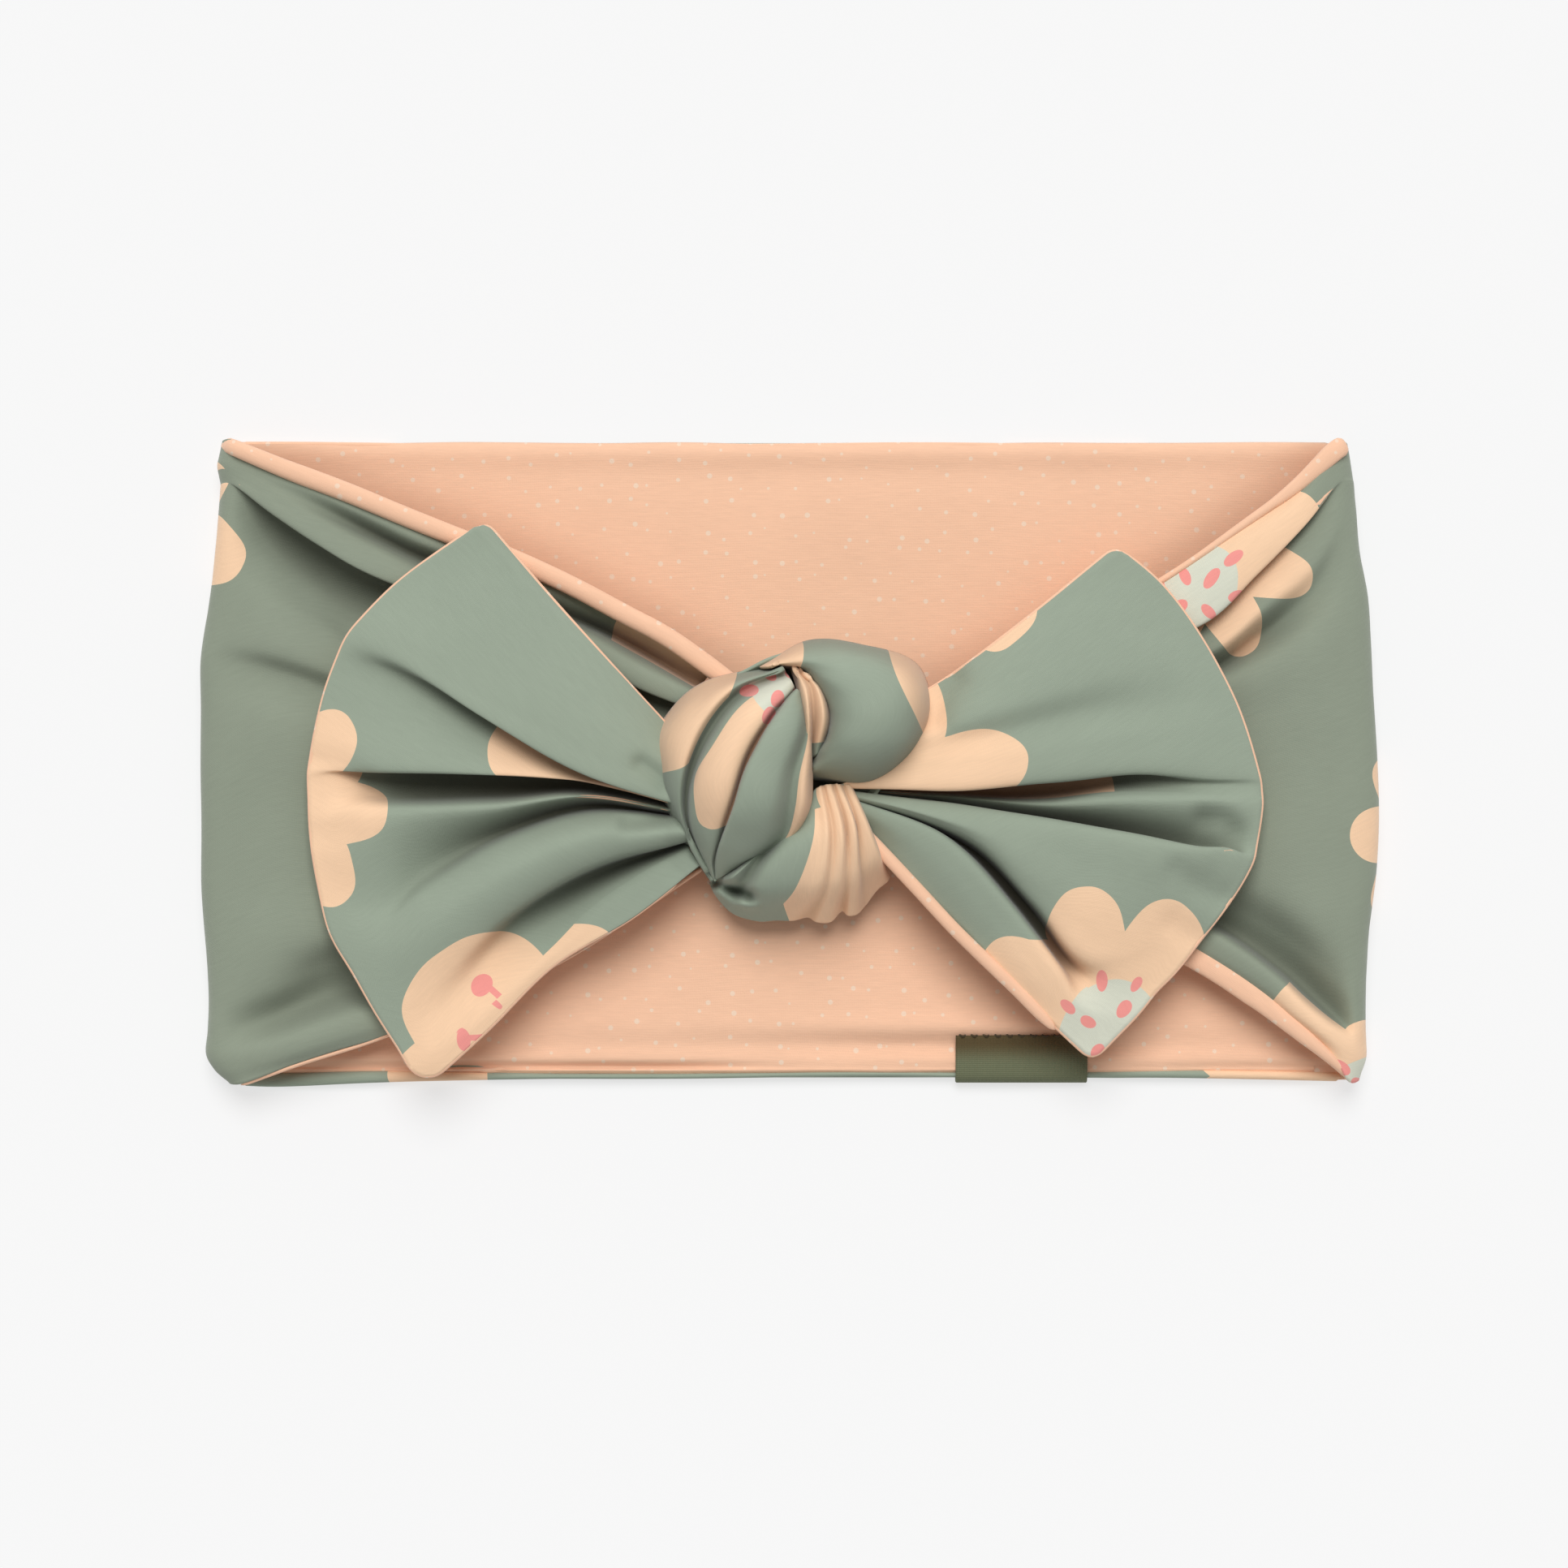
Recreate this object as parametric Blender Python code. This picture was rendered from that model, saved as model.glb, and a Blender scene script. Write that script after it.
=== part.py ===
"""A child's knotted bow headband, laid flat on a table with the bow on top.

Two knit cloths make the band: a printed shell outside and a dotted lining inside, sewn
together along both long edges. The band lies as a flattened loop. Its back lies on the table,
it folds over at both sides, and its front halves gather towards a knot whose two tails fan
out as the bow's ears.

+X runs along the band, +Y across it and +Z out of the table. Lengths are in millimetres until
add_mesh() and add_tube() scale them to metres.
"""

import math

import bmesh
import bpy
from mathutils import Vector

MM = 0.001

# Driving sizes of the band.
FLAT_LENGTH = 200.0  # outside of one side fold to the outside of the other
CLOTH = 0.6  # one layer of knit
LAYER_GAP = 0.3  # air between the shell and the lining
SEAM_RADIUS = 0.6
EDGE_Y = 53.25  # half the width of the cloths, inside the seams
MID_Y = 0.35  # the band's middle, which the label's fold pushes off the part's own middle
SEAM_GAP = 0.3  # from a cloth's edge to the seam roll beside it
CUT_GAP = 0.5  # between two zones of the same cloth

# The stack, from the table up.
HALF_STACK = CLOTH + LAYER_GAP / 2
BACK_Z = HALF_STACK  # the middle of the two layers that lie on the table
FOLD_RADIUS = 3.5  # of the middle of the two layers at a side fold
FRONT_Z = BACK_Z + 2 * FOLD_RADIUS
FOLD_X = FLAT_LENGTH / 2 - FOLD_RADIUS - HALF_STACK  # a side fold's axis at mid width
FOLD_BOW = 4.0  # how far the corners stand in from mid width

# The front halves, from a side fold to the knot. Edge curves are start, pull and end points.
CORNER_X = FOLD_X - FOLD_BOW - CUT_GAP
STRAPS = {
    "left": {
        "side": -1,
        "top": ((-CORNER_X, MID_Y + EDGE_Y), (-50.0, 38.5), (-22.6, 16.0)),
        "bottom": ((-CORNER_X, MID_Y - EDGE_Y), (-50.0, -41.0), (-22.6, -18.5)),
    },
    "right": {
        "side": 1,
        "top": ((CORNER_X, MID_Y + EDGE_Y), (57.0, 24.0), (27.8, 12.5)),
        "bottom": ((CORNER_X, MID_Y - EDGE_Y), (60.0, -30.0), (27.8, -15.0)),
    },
}
PLEATS = 3
RIDGE_AT_FOLD = 2.2
RIDGE_AT_KNOT = 4.5
RIDGE_STARTS = 0.2  # the share of a front half in which its pleats rise beside the fold
RIDGE_GROWS = 0.4  # the share from which they grow towards the knot
GATHER_DIP = 2.0
DIP_STARTS = 0.58  # the share from which the cloth dips under the knot

# The bow's ears, each from a root beside the knot to a curved rim.
LEFT_EAR_X = 24.6
RIGHT_EAR_X = 28.6
EARS = {
    "left": {
        "side": -1,
        "root": ((-LEFT_EAR_X, 5.0), (-LEFT_EAR_X, -13.0)),
        "rim": ((-51.8, 39.8), (-107.0, -6.8), (-61.0, -53.0)),
    },
    "right": {
        "side": 1,
        "root": ((RIGHT_EAR_X, 10.0), (RIGHT_EAR_X, -9.0)),
        "rim": ((57.0, 35.5), (105.0, -4.0), (52.8, -50.0)),
    },
}
EAR_ROOT_Z = 18.0
EAR_RIM_Z = 12.6
EAR_PLEATS = 2
EAR_RIPPLE = 0.7

# The knot: stations of each lobe as centre, half width and half height.
KNOT_Y = -3.7
KNOT_CORE = (
    ((-17.5, -2.0, 9.0), 5.0, 5.0),
    ((-8.0, -2.5, 10.5), 11.0, 8.0),
    ((3.0, -2.0, 11.5), 13.5, 9.4),
    ((14.0, -1.5, 10.5), 11.0, 8.0),
    ((22.5, -1.0, 9.0), 5.0, 5.0),
)
KNOT_WRAPS = {
    "knot_wrap_left": (
        ((0.0, 15.5, 15.0), 5.0, 5.5),
        ((-5.5, 9.0, 20.5), 11.0, 7.0),
        ((-8.8, 0.5, 22.5), 12.3, 7.5),
        ((-8.8, -8.5, 20.0), 11.0, 7.0),
        ((-11.5, -18.0, 13.0), 5.0, 5.0),
    ),
    "knot_wrap_right": (
        ((3.0, 18.0, 14.0), 4.5, 4.5),
        ((12.5, 15.0, 19.5), 7.5, 7.0),
        ((17.0, 8.0, 21.5), 9.6, 8.0),
        ((14.0, 0.5, 17.5), 9.0, 6.5),
    ),
    "knot_wrap_lower": (
        ((-9.0, -20.0, 9.0), 4.5, 5.0),
        ((0.0, -19.0, 12.0), 8.0, 8.0),
        ((8.0, -15.0, 13.0), 9.5, 8.0),
        ((11.0, -7.0, 13.0), 7.0, 6.5),
    ),
}
CUT_CLEARANCE = 0.35
LOBE_RINGS = 9
LOBE_SIDES = 14
END_ROUNDING = 0.7  # of a lobe's end, as a share of its smaller half size

# The woven label, folded over the lower edge.
LABEL_X = (28.8, 51.0)
LABEL_TOP_Y = -47.0
LABEL_CLOTH = 0.4
LABEL_BEND = 0.9  # inside radius where it turns down over the edge
LABEL_FOOT = 0.02  # height of its lower end above the table
LABEL_THREAD_RADIUS = 0.22
LABEL_THREAD_INSET = 0.6  # from the label's edges to its thread
LABEL_THREAD_GAP = 0.1

# How finely the surfaces are cut, and how far apart two points give a direction.
SHEET_ROWS = 8
BACK_COLUMNS = 12
STRAP_ROWS = 12
PLEAT_COLUMNS = 8
EAR_SEAM_STEPS = 6
RIM_STEPS = 12
BEND_STEPS = 4
NORMAL_STEP = 0.002
EDGE_STEP = 0.02
RIM_STEP = 0.04
SPINE_STEP = 0.02
SHARP_ANGLE = 50.0


def smooth(t):
    """Eases from 0 to 1 as t goes from 0 to 1."""
    t = min(max(t, 0.0), 1.0)
    return t * t * (3 - 2 * t)


def pulled_curve(points, t):
    """A point on the curve from points[0] to points[2] that points[1] pulls towards itself."""
    start, pull, end = (Vector(p) for p in points)
    return start * (1 - t) ** 2 + pull * 2 * t * (1 - t) + end * t**2


def fold_axis_x(v):
    """The distance of a side fold's axis from mid length: the corners stand in."""
    return FOLD_X - FOLD_BOW * abs(2 * v - 1) ** 3


def band_y(v):
    return MID_Y + EDGE_Y * (2 * v - 1)


# Surfaces of the middle of the two layers. s runs along the band and v from its lower to its
# upper edge, both from 0 to 1.


def back_surface(s, v):
    reach = fold_axis_x(v) - CUT_GAP
    return Vector((reach * (2 * s - 1), band_y(v), BACK_Z))


def fold_surface(side):
    def surface(s, v):
        turn = math.pi * s
        x = fold_axis_x(v) + FOLD_RADIUS * math.sin(turn)
        return Vector((side * x, band_y(v), BACK_Z + FOLD_RADIUS * (1 - math.cos(turn))))

    return surface


def strap_surface(strap):
    def surface(s, v):
        low = pulled_curve(strap["bottom"], s)
        high = pulled_curve(strap["top"], s)
        x, y = low.lerp(high, v)
        x += strap["side"] * FOLD_BOW * (1 - abs(2 * v - 1) ** 3) * (1 - s) ** 2
        ridge = RIDGE_AT_FOLD * smooth(s / RIDGE_STARTS)
        ridge += (RIDGE_AT_KNOT - RIDGE_AT_FOLD) * smooth((s - RIDGE_GROWS) / (1 - RIDGE_GROWS))
        crest = 0.5 * (1 + math.cos(2 * math.pi * PLEATS * v))
        dip = GATHER_DIP * smooth((s - DIP_STARTS) / (1 - DIP_STARTS))
        return Vector((x, y, FRONT_Z - dip + ridge * crest))

    return surface


def ear_surface(ear):
    """s runs from the root to the rim, and v from the lower tip to the upper one."""

    def surface(s, v):
        upper, lower = (Vector(p) for p in ear["root"])
        root = lower.lerp(upper, v)
        x, y = root.lerp(pulled_curve(ear["rim"], 1 - v), s)
        z = EAR_ROOT_Z + (EAR_RIM_Z - EAR_ROOT_Z) * smooth(s)
        ripple = EAR_RIPPLE * (1 - s) ** 1.5 * math.cos(2 * math.pi * EAR_PLEATS * v)
        return Vector((x, y, z + ripple))

    return surface


def normal_at(surface, s, v):
    along = surface(min(s + NORMAL_STEP, 1), v) - surface(max(s - NORMAL_STEP, 0), v)
    across = surface(s, min(v + NORMAL_STEP, 1)) - surface(s, max(v - NORMAL_STEP, 0))
    return along.cross(across).normalized()


def material(name, colour, roughness):
    made = bpy.data.materials.get(name)
    if made is None:
        made = bpy.data.materials.new(name)
        made.use_nodes = True
        shader = made.node_tree.nodes["Principled BSDF"]
        shader.inputs["Base Color"].default_value = (*colour, 1)
        shader.inputs["Roughness"].default_value = roughness
        shader.inputs["Metallic"].default_value = 0
        made.diffuse_color = (*colour, 1)
    return made


def shell_cloth():
    return material("printed_shell", (0.30, 0.37, 0.29), 0.85)


def lining_cloth():
    return material("dotted_lining", (0.87, 0.55, 0.37), 0.85)


def thread():
    return material("seam_thread", (0.83, 0.60, 0.44), 0.8)


def label_weave():
    return material("woven_label", (0.10, 0.13, 0.07), 0.7)


def add_pivot(name, place, parent=None):
    """An empty on a joint's axis, which carries the pieces that move with it."""
    pivot = bpy.data.objects.new(name, None)
    pivot.location = Vector(place) * MM
    bpy.context.scene.collection.objects.link(pivot)
    carry(pivot, parent)
    return pivot


def carry(piece, pivot):
    """Parents a piece to a pivot and leaves it where it is."""
    if pivot is not None:
        bpy.context.view_layer.update()
        piece.parent = pivot
        piece.matrix_parent_inverse = pivot.matrix_world.inverted()


def add_mesh(name, points, faces, finish):
    """A mesh object from points in millimetres, shaded smooth except at real edges."""
    mesh = bpy.data.meshes.new(name)
    mesh.from_pydata([Vector(p) * MM for p in points], [], faces)
    work = bmesh.new()
    work.from_mesh(mesh)
    bmesh.ops.recalc_face_normals(work, faces=work.faces)
    work.to_mesh(mesh)
    work.free()
    mesh.shade_smooth()
    mesh.set_sharp_from_angle(angle=math.radians(SHARP_ANGLE))
    mesh.materials.append(finish)
    made = bpy.data.objects.new(name, mesh)
    bpy.context.scene.collection.objects.link(made)
    return made


def add_tube(name, path, radius, finish):
    """A round cord along points in millimetres, with filled ends."""
    curve = bpy.data.curves.new(name, "CURVE")
    curve.dimensions = "3D"
    curve.bevel_depth = radius * MM
    curve.bevel_resolution = 1
    curve.use_fill_caps = True
    spline = curve.splines.new("POLY")
    spline.points.add(len(path) - 1)
    for point, place in zip(spline.points, path, strict=True):
        point.co = (*(Vector(place) * MM), 1)
    curve.materials.append(finish)
    made = bpy.data.objects.new(name, curve)
    bpy.context.scene.collection.objects.link(made)
    return made


def add_sheet(name, surface, rows, columns, offset, finish):
    """A closed sheet of cloth whose middle lies offset along the surface's normal."""
    faces, under, over = [], [], []
    for i in range(rows + 1):
        for j in range(columns + 1):
            s, v = i / rows, j / columns
            place, normal = surface(s, v), normal_at(surface, s, v)
            under.append(place + normal * (offset - CLOTH / 2))
            over.append(place + normal * (offset + CLOTH / 2))
    total = len(under)

    def at(i, j):
        return i * (columns + 1) + j

    for i in range(rows):
        for j in range(columns):
            cell = (at(i, j), at(i + 1, j), at(i + 1, j + 1), at(i, j + 1))
            faces.append(cell)
            faces.append(tuple(total + k for k in reversed(cell)))
    ring = [at(i, 0) for i in range(rows)]
    ring += [at(rows, j) for j in range(columns)]
    ring += [at(i, columns) for i in range(rows, 0, -1)]
    ring += [at(0, j) for j in range(columns, 0, -1)]
    for a, b in zip(ring, ring[1:] + ring[:1], strict=True):
        faces.append((a, b, total + b, total + a))
    return add_mesh(name, under + over, faces, finish)


def add_cloth_pair(zone, surface, rows, columns, shell_side):
    """The shell and the lining of one zone. shell_side is 1 where the normal points out."""
    apart = shell_side * (CLOTH + LAYER_GAP) / 2
    shell = add_sheet(f"shell_{zone}", surface, rows, columns, apart, shell_cloth())
    lining = add_sheet(f"lining_{zone}", surface, rows, columns, -apart, lining_cloth())
    return shell, lining


def edge_path(surface, v, steps):
    """Points beside the edge v = 0 or 1 of a surface, a seam's radius and its gap outside."""
    inside = 1 - EDGE_STEP if v == 1 else EDGE_STEP
    found = []
    for i in range(steps + 1):
        place = surface(i / steps, v)
        outward = (place - surface(i / steps, inside)).normalized()
        found.append(place + outward * (SEAM_GAP + SEAM_RADIUS))
    return found


def add_back_and_folds():
    add_cloth_pair("back", back_surface, SHEET_ROWS, BACK_COLUMNS, -1)
    for name, strap in STRAPS.items():
        side = strap["side"]
        add_cloth_pair(f"fold_{name}", fold_surface(side), SHEET_ROWS, BACK_COLUMNS, -side)
    for edge, v in (("bottom", 0), ("top", 1)):
        left = edge_path(fold_surface(-1), v, SHEET_ROWS)
        right = edge_path(fold_surface(1), v, SHEET_ROWS)
        path = list(reversed(left)) + edge_path(back_surface, v, SHEET_ROWS)[1:-1] + right
        add_tube(f"seam_band_{edge}", path, SEAM_RADIUS, thread())


def add_straps():
    """Each front half runs from a side fold to the knot and gathers on the way."""
    for name, strap in STRAPS.items():
        surface = strap_surface(strap)
        columns = PLEAT_COLUMNS * PLEATS
        add_cloth_pair(f"front_{name}", surface, STRAP_ROWS, columns, -strap["side"])
        for edge, v in (("bottom", 0), ("top", 1)):
            path = edge_path(surface, v, STRAP_ROWS)
            add_tube(f"seam_front_{name}_{edge}", path, SEAM_RADIUS, thread())


def ear_seam_path(surface):
    """From the root along the upper edge, round the rim and back along the lower edge."""
    upper = edge_path(surface, 1, EAR_SEAM_STEPS)
    lower = edge_path(surface, 0, EAR_SEAM_STEPS)
    rim = []
    for j in range(RIM_STEPS + 1):
        v = 1 - j / RIM_STEPS
        place = surface(1, v)
        outward = (place - surface(1 - RIM_STEP, v)).normalized()
        rim.append(place + outward * (SEAM_GAP + SEAM_RADIUS))
    upper_tip = upper[-1] + rim[0] - surface(1, 1)
    lower_tip = lower[-1] + rim[-1] - surface(1, 0)
    return [*upper[:-1], upper_tip, *rim[1:-1], lower_tip, *reversed(lower[:-1])]


def add_ears(knot_pivot):
    for name, ear in EARS.items():
        surface = ear_surface(ear)
        root_x = ear["root"][0][0]
        pivot = add_pivot(f"ear_pivot_{name}", (root_x, KNOT_Y, EAR_ROOT_Z), knot_pivot)
        seam_path = ear_seam_path(surface)
        seam = add_tube(f"seam_ear_{name}", seam_path, SEAM_RADIUS, thread())
        columns = PLEAT_COLUMNS * EAR_PLEATS
        sheets = add_cloth_pair(f"ear_{name}", surface, SHEET_ROWS, columns, ear["side"])
        for piece in (*sheets, seam):
            carry(piece, pivot)


def spline_at(values, t):
    """A Catmull-Rom spline through equal steps of values, at t from 0 to 1."""
    at = t * (len(values) - 1)
    i = min(int(at), len(values) - 2)
    a, b, c, d = (values[min(max(i + k, 0), len(values) - 1)] for k in (-1, 0, 1, 2))
    u = at - i
    return 0.5 * (
        2 * b + (c - a) * u + (2 * a - 5 * b + 4 * c - d) * u**2 + (3 * b - a - 3 * c + d) * u**3
    )


def lobe_frame(stations, t):
    """The centre, direction, half width and half height of a lobe at t from 0 to 1."""
    centres = [Vector(station[0]) for station in stations]
    before, after = max(t - SPINE_STEP, 0), min(t + SPINE_STEP, 1)
    ahead = spline_at(centres, after) - spline_at(centres, before)
    width = spline_at([station[1] for station in stations], t)
    height = spline_at([station[2] for station in stations], t)
    return spline_at(centres, t), ahead.normalized(), width, height


def lobe_end(stations, t, grow):
    """The point of the rounded end at t = 0 or 1."""
    centre, ahead, width, height = lobe_frame(stations, t)
    depth = END_ROUNDING * (min(width, height) + grow)
    return centre + ahead * depth * (2 * t - 1)


def add_lobe(name, stations, grow, finish):
    """A rounded lobe swept through its stations, each side larger by grow."""
    points, faces = [], []
    for i in range(LOBE_RINGS):
        centre, ahead, width, height = lobe_frame(stations, i / (LOBE_RINGS - 1))
        across = ahead.cross(Vector((0, 0, 1))).normalized() * (width + grow)
        up = across.cross(ahead).normalized() * (height + grow)
        for k in range(LOBE_SIDES):
            turn = 2 * math.pi * k / LOBE_SIDES
            points.append(centre + across * math.cos(turn) + up * math.sin(turn))
    first, last = len(points), len(points) + 1
    points += [lobe_end(stations, 0, grow), lobe_end(stations, 1, grow)]
    end = (LOBE_RINGS - 1) * LOBE_SIDES
    for k in range(LOBE_SIDES):
        n = (k + 1) % LOBE_SIDES
        faces += [(k, n, first), (end + n, end + k, last)]
        for ring in range(0, end, LOBE_SIDES):
            above = ring + LOBE_SIDES
            faces.append((ring + k, ring + n, above + n, above + k))
    return add_mesh(name, points, faces, finish)


def add_knot(knot_pivot):
    """The core, and three wraps over it. Each is cut clear of those made before it."""
    lobes = {"knot_core": KNOT_CORE, **KNOT_WRAPS}
    cutters = []
    for name, stations in lobes.items():
        made = add_lobe(name, stations, 0, shell_cloth())
        carry(made, knot_pivot)
        for cutter in cutters:
            cut = made.modifiers.new(cutter.name, "BOOLEAN")
            cut.operation = "DIFFERENCE"
            cut.object = cutter
        cutter = add_lobe(f"cutter_{name}", stations, CUT_CLEARANCE, shell_cloth())
        cutter.hide_render = True
        cutter.display_type = "WIRE"
        cutters.append(cutter)


def label_profile(top, bend_y):
    """The label's section in y and z: flat on top, a round bend, then down to the table."""
    profile = []
    for offset in (0, LABEL_CLOTH):
        run = [(LABEL_TOP_Y, top + offset)]
        for k in range(BEND_STEPS + 1):
            turn = math.pi / 2 * (1 + k / BEND_STEPS)
            reach = LABEL_BEND + offset
            y = bend_y + LABEL_BEND + reach * math.cos(turn)
            run.append((y, top - LABEL_BEND + reach * math.sin(turn)))
        run.append((bend_y - offset, LABEL_FOOT))
        profile.append(run)
    inner, outer = profile
    return inner + outer[::-1]


def add_label():
    """The label lies on the lining, bends over the seam and ends at the table beside it."""
    low, high = LABEL_X
    top = BACK_Z + HALF_STACK + LAYER_GAP
    bend_y = MID_Y - (EDGE_Y + SEAM_GAP + 2 * SEAM_RADIUS + LAYER_GAP)
    profile = label_profile(top, bend_y)
    count = len(profile)
    points = [(x, y, z) for x in (low, high) for y, z in profile]
    faces = [tuple(range(count)), tuple(range(2 * count - 1, count - 1, -1))]
    faces += [(k, (k + 1) % count, count + (k + 1) % count, count + k) for k in range(count)]
    add_mesh("label", points, faces, label_weave())
    thread_z = top + LABEL_CLOTH + LABEL_THREAD_RADIUS + LABEL_THREAD_GAP
    thread_y = LABEL_TOP_Y - LABEL_THREAD_INSET
    ends = (low + LABEL_THREAD_INSET, high - LABEL_THREAD_INSET)
    path = [(x, thread_y, thread_z) for x in ends]
    add_tube("label_thread", path, LABEL_THREAD_RADIUS, thread())


def main():
    for old in list(bpy.data.objects):
        bpy.data.objects.remove(old)
    add_back_and_folds()
    add_straps()
    knot_pivot = add_pivot("knot_pivot", (0, KNOT_Y, FRONT_Z))
    add_knot(knot_pivot)
    add_ears(knot_pivot)
    add_label()


main()
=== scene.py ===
"""The look of the knotted headband, built around its CAD frame.

Every cloth is a sheet lofted through its own fold lines, each a row of points in millimetres
in the frame's axes. A fold line runs along a crest, a crease or an edge. The shell is printed
with a plain formula flower, and the lining is dotted.
"""

import math

import bpy
import numpy as np
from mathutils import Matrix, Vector, noise


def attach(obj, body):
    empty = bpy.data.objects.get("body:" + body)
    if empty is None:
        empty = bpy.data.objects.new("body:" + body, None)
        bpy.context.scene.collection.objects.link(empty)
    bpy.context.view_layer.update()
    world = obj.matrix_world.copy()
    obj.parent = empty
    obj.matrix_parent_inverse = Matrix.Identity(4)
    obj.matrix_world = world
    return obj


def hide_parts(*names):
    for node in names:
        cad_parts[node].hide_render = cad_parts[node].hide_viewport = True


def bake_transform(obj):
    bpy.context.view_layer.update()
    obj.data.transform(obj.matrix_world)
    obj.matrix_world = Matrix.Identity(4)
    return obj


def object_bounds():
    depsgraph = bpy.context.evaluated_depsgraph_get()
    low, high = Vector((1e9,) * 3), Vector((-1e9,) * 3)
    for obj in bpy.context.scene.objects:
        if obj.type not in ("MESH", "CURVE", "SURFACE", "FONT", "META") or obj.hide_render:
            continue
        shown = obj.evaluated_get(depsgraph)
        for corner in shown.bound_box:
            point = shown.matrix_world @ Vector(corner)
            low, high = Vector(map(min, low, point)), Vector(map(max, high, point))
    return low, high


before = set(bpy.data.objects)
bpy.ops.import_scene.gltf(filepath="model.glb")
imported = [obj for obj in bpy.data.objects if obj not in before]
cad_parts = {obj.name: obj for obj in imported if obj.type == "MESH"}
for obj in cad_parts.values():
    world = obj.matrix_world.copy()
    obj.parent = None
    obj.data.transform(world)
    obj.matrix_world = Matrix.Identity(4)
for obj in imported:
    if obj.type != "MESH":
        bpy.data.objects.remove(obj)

CAD_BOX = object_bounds()
MM = 0.001
CLOTH = 0.5  # the thickness of one knit layer
ZONE_STEP = 400.0  # how far apart the print's zones lie in its own coordinates
LOOP = 400.0  # the print's length round the whole band
ALONG = 110  # points of a sheet along its fold lines
ACROSS = 8  # rows between two fold lines
FINE = 24  # steps in each span of a curve, when its length is measured
SMALL = 1e-6
TINY = 1e-12
SPLIT_GAP = 0.003  # how far apart a doubled row lies, as a share of a row
GENTLE = 0.35  # keeps the slope between two points that lie almost one above the other finite


# ---------------------------------------------------------------- curves and sheets


def curve_through(points, steps):
    """A smooth curve through points: steps values of its parameter in each span."""
    points = np.asarray(points, float)
    gaps = np.linalg.norm(np.diff(points, axis=0), axis=1) ** 0.5 + SMALL
    slopes = np.empty_like(points)
    chords = np.diff(points, axis=0) / gaps[:, None]
    slopes[0], slopes[-1] = chords[0], chords[-1]
    before, after = gaps[:-1, None], gaps[1:, None]
    slopes[1:-1] = (chords[:-1] * after + chords[1:] * before) / (before + after)
    found = []
    for i, gap in enumerate(gaps):
        last = i == len(gaps) - 1
        u = np.linspace(0, 1, steps + 1)[: None if last else -1, None]
        found.append(
            (2 * u**3 - 3 * u**2 + 1) * points[i]
            + (u**3 - 2 * u**2 + u) * gap * slopes[i]
            + (3 * u**2 - 2 * u**3) * points[i + 1]
            + (u**3 - u**2) * gap * slopes[i + 1]
        )
    return np.concatenate(found)


def even_curve(points, count):
    """A smooth curve through points, cut into count points that lie evenly along it."""
    fine = curve_through(points, FINE)
    lengths = np.concatenate([[0], np.cumsum(np.linalg.norm(np.diff(fine, axis=0), axis=1))])
    at = np.linspace(0, lengths[-1], count)
    return np.stack([np.interp(at, lengths, fine[:, k]) for k in range(3)], axis=1)


def loft(lines, along=ALONG, across=ACROSS):
    """A grid of points over the fold lines, indexed [across, along]."""
    rows = np.stack([even_curve(line, along) for line in lines])
    columns = [curve_through(rows[:, i], across) for i in range(along)]
    return np.stack(columns, axis=1)


def normals_of(grid):
    """The unit normal at each point of a sheet."""
    along = np.gradient(grid, axis=1)
    across = np.gradient(grid, axis=0)
    normal = np.cross(along, across)
    return normal / (np.linalg.norm(normal, axis=2, keepdims=True) + TINY)


def facing_up(grid):
    """The normals of a sheet, turned so that most of them point up."""
    normal = normals_of(grid)
    return normal if normal[..., 2].sum() > 0 else -normal


def ripple(grid, height, size, seed):
    """Moves a sheet a little along its normals, as limp knit is never quite smooth."""
    shift = np.empty(grid.shape[:2])
    for index in np.ndindex(shift.shape):
        shift[index] = noise.noise(Vector(grid[index]) / size + Vector((seed, 0, 0)))
    return grid + facing_up(grid) * (shift * height)[..., None]


def split_rows(grid, lines):
    """Doubles the row half way to each of the given fold lines, where a zone of print starts."""
    starts = []
    for line in lines:
        row = int((line - 0.5) * ACROSS) + len(starts)
        before = grid[row] + (grid[row - 1] - grid[row]) * SPLIT_GAP
        grid = np.insert(grid, row, before, axis=0)
        starts.append(row + 1)
    return grid, starts


def print_places(grid, starts=()):
    """The print's own coordinates: the sheet seen from above, moved aside in each new zone."""
    places = grid.copy()
    places[..., 2] = 0
    for start in starts:
        places[start:, :, 1] -= ZONE_STEP
    return places


def fold_shade(grid, reach=22):
    """How far each point lies down between the folds beside it, from 0 in the open to 1, which is painted
    as shade.
    """
    hidden = np.zeros(grid.shape[:2])
    for side in (1, -1):
        steepest = np.zeros(grid.shape[:2])
        for step in range(1, reach):
            other = np.roll(grid, -side * step, axis=0)
            rise = other[..., 2] - grid[..., 2]
            aside = np.linalg.norm((other - grid)[..., :2], axis=2) + GENTLE
            slope = np.maximum(rise / aside, 0)
            slope[slice(-step, None) if side > 0 else slice(0, step)] = 0
            steepest = np.maximum(steepest, slope)
        hidden += steepest**2 / (1 + steepest**2) / 2
    for _ in range(2):
        hidden[1:-1] = (hidden[:-2] + hidden[1:-1] * 2 + hidden[2:]) / 4
    return hidden


def weave_places(grid):
    """The knit's own coordinates: the distance along the cloth each way, in millimetres."""
    along = np.linalg.norm(np.diff(grid, axis=1, prepend=grid[:, :1]), axis=2).cumsum(axis=1)
    across = np.linalg.norm(np.diff(grid, axis=0, prepend=grid[:1]), axis=2).cumsum(axis=0)
    return np.stack([across, along, np.zeros_like(along)], axis=2)


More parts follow.
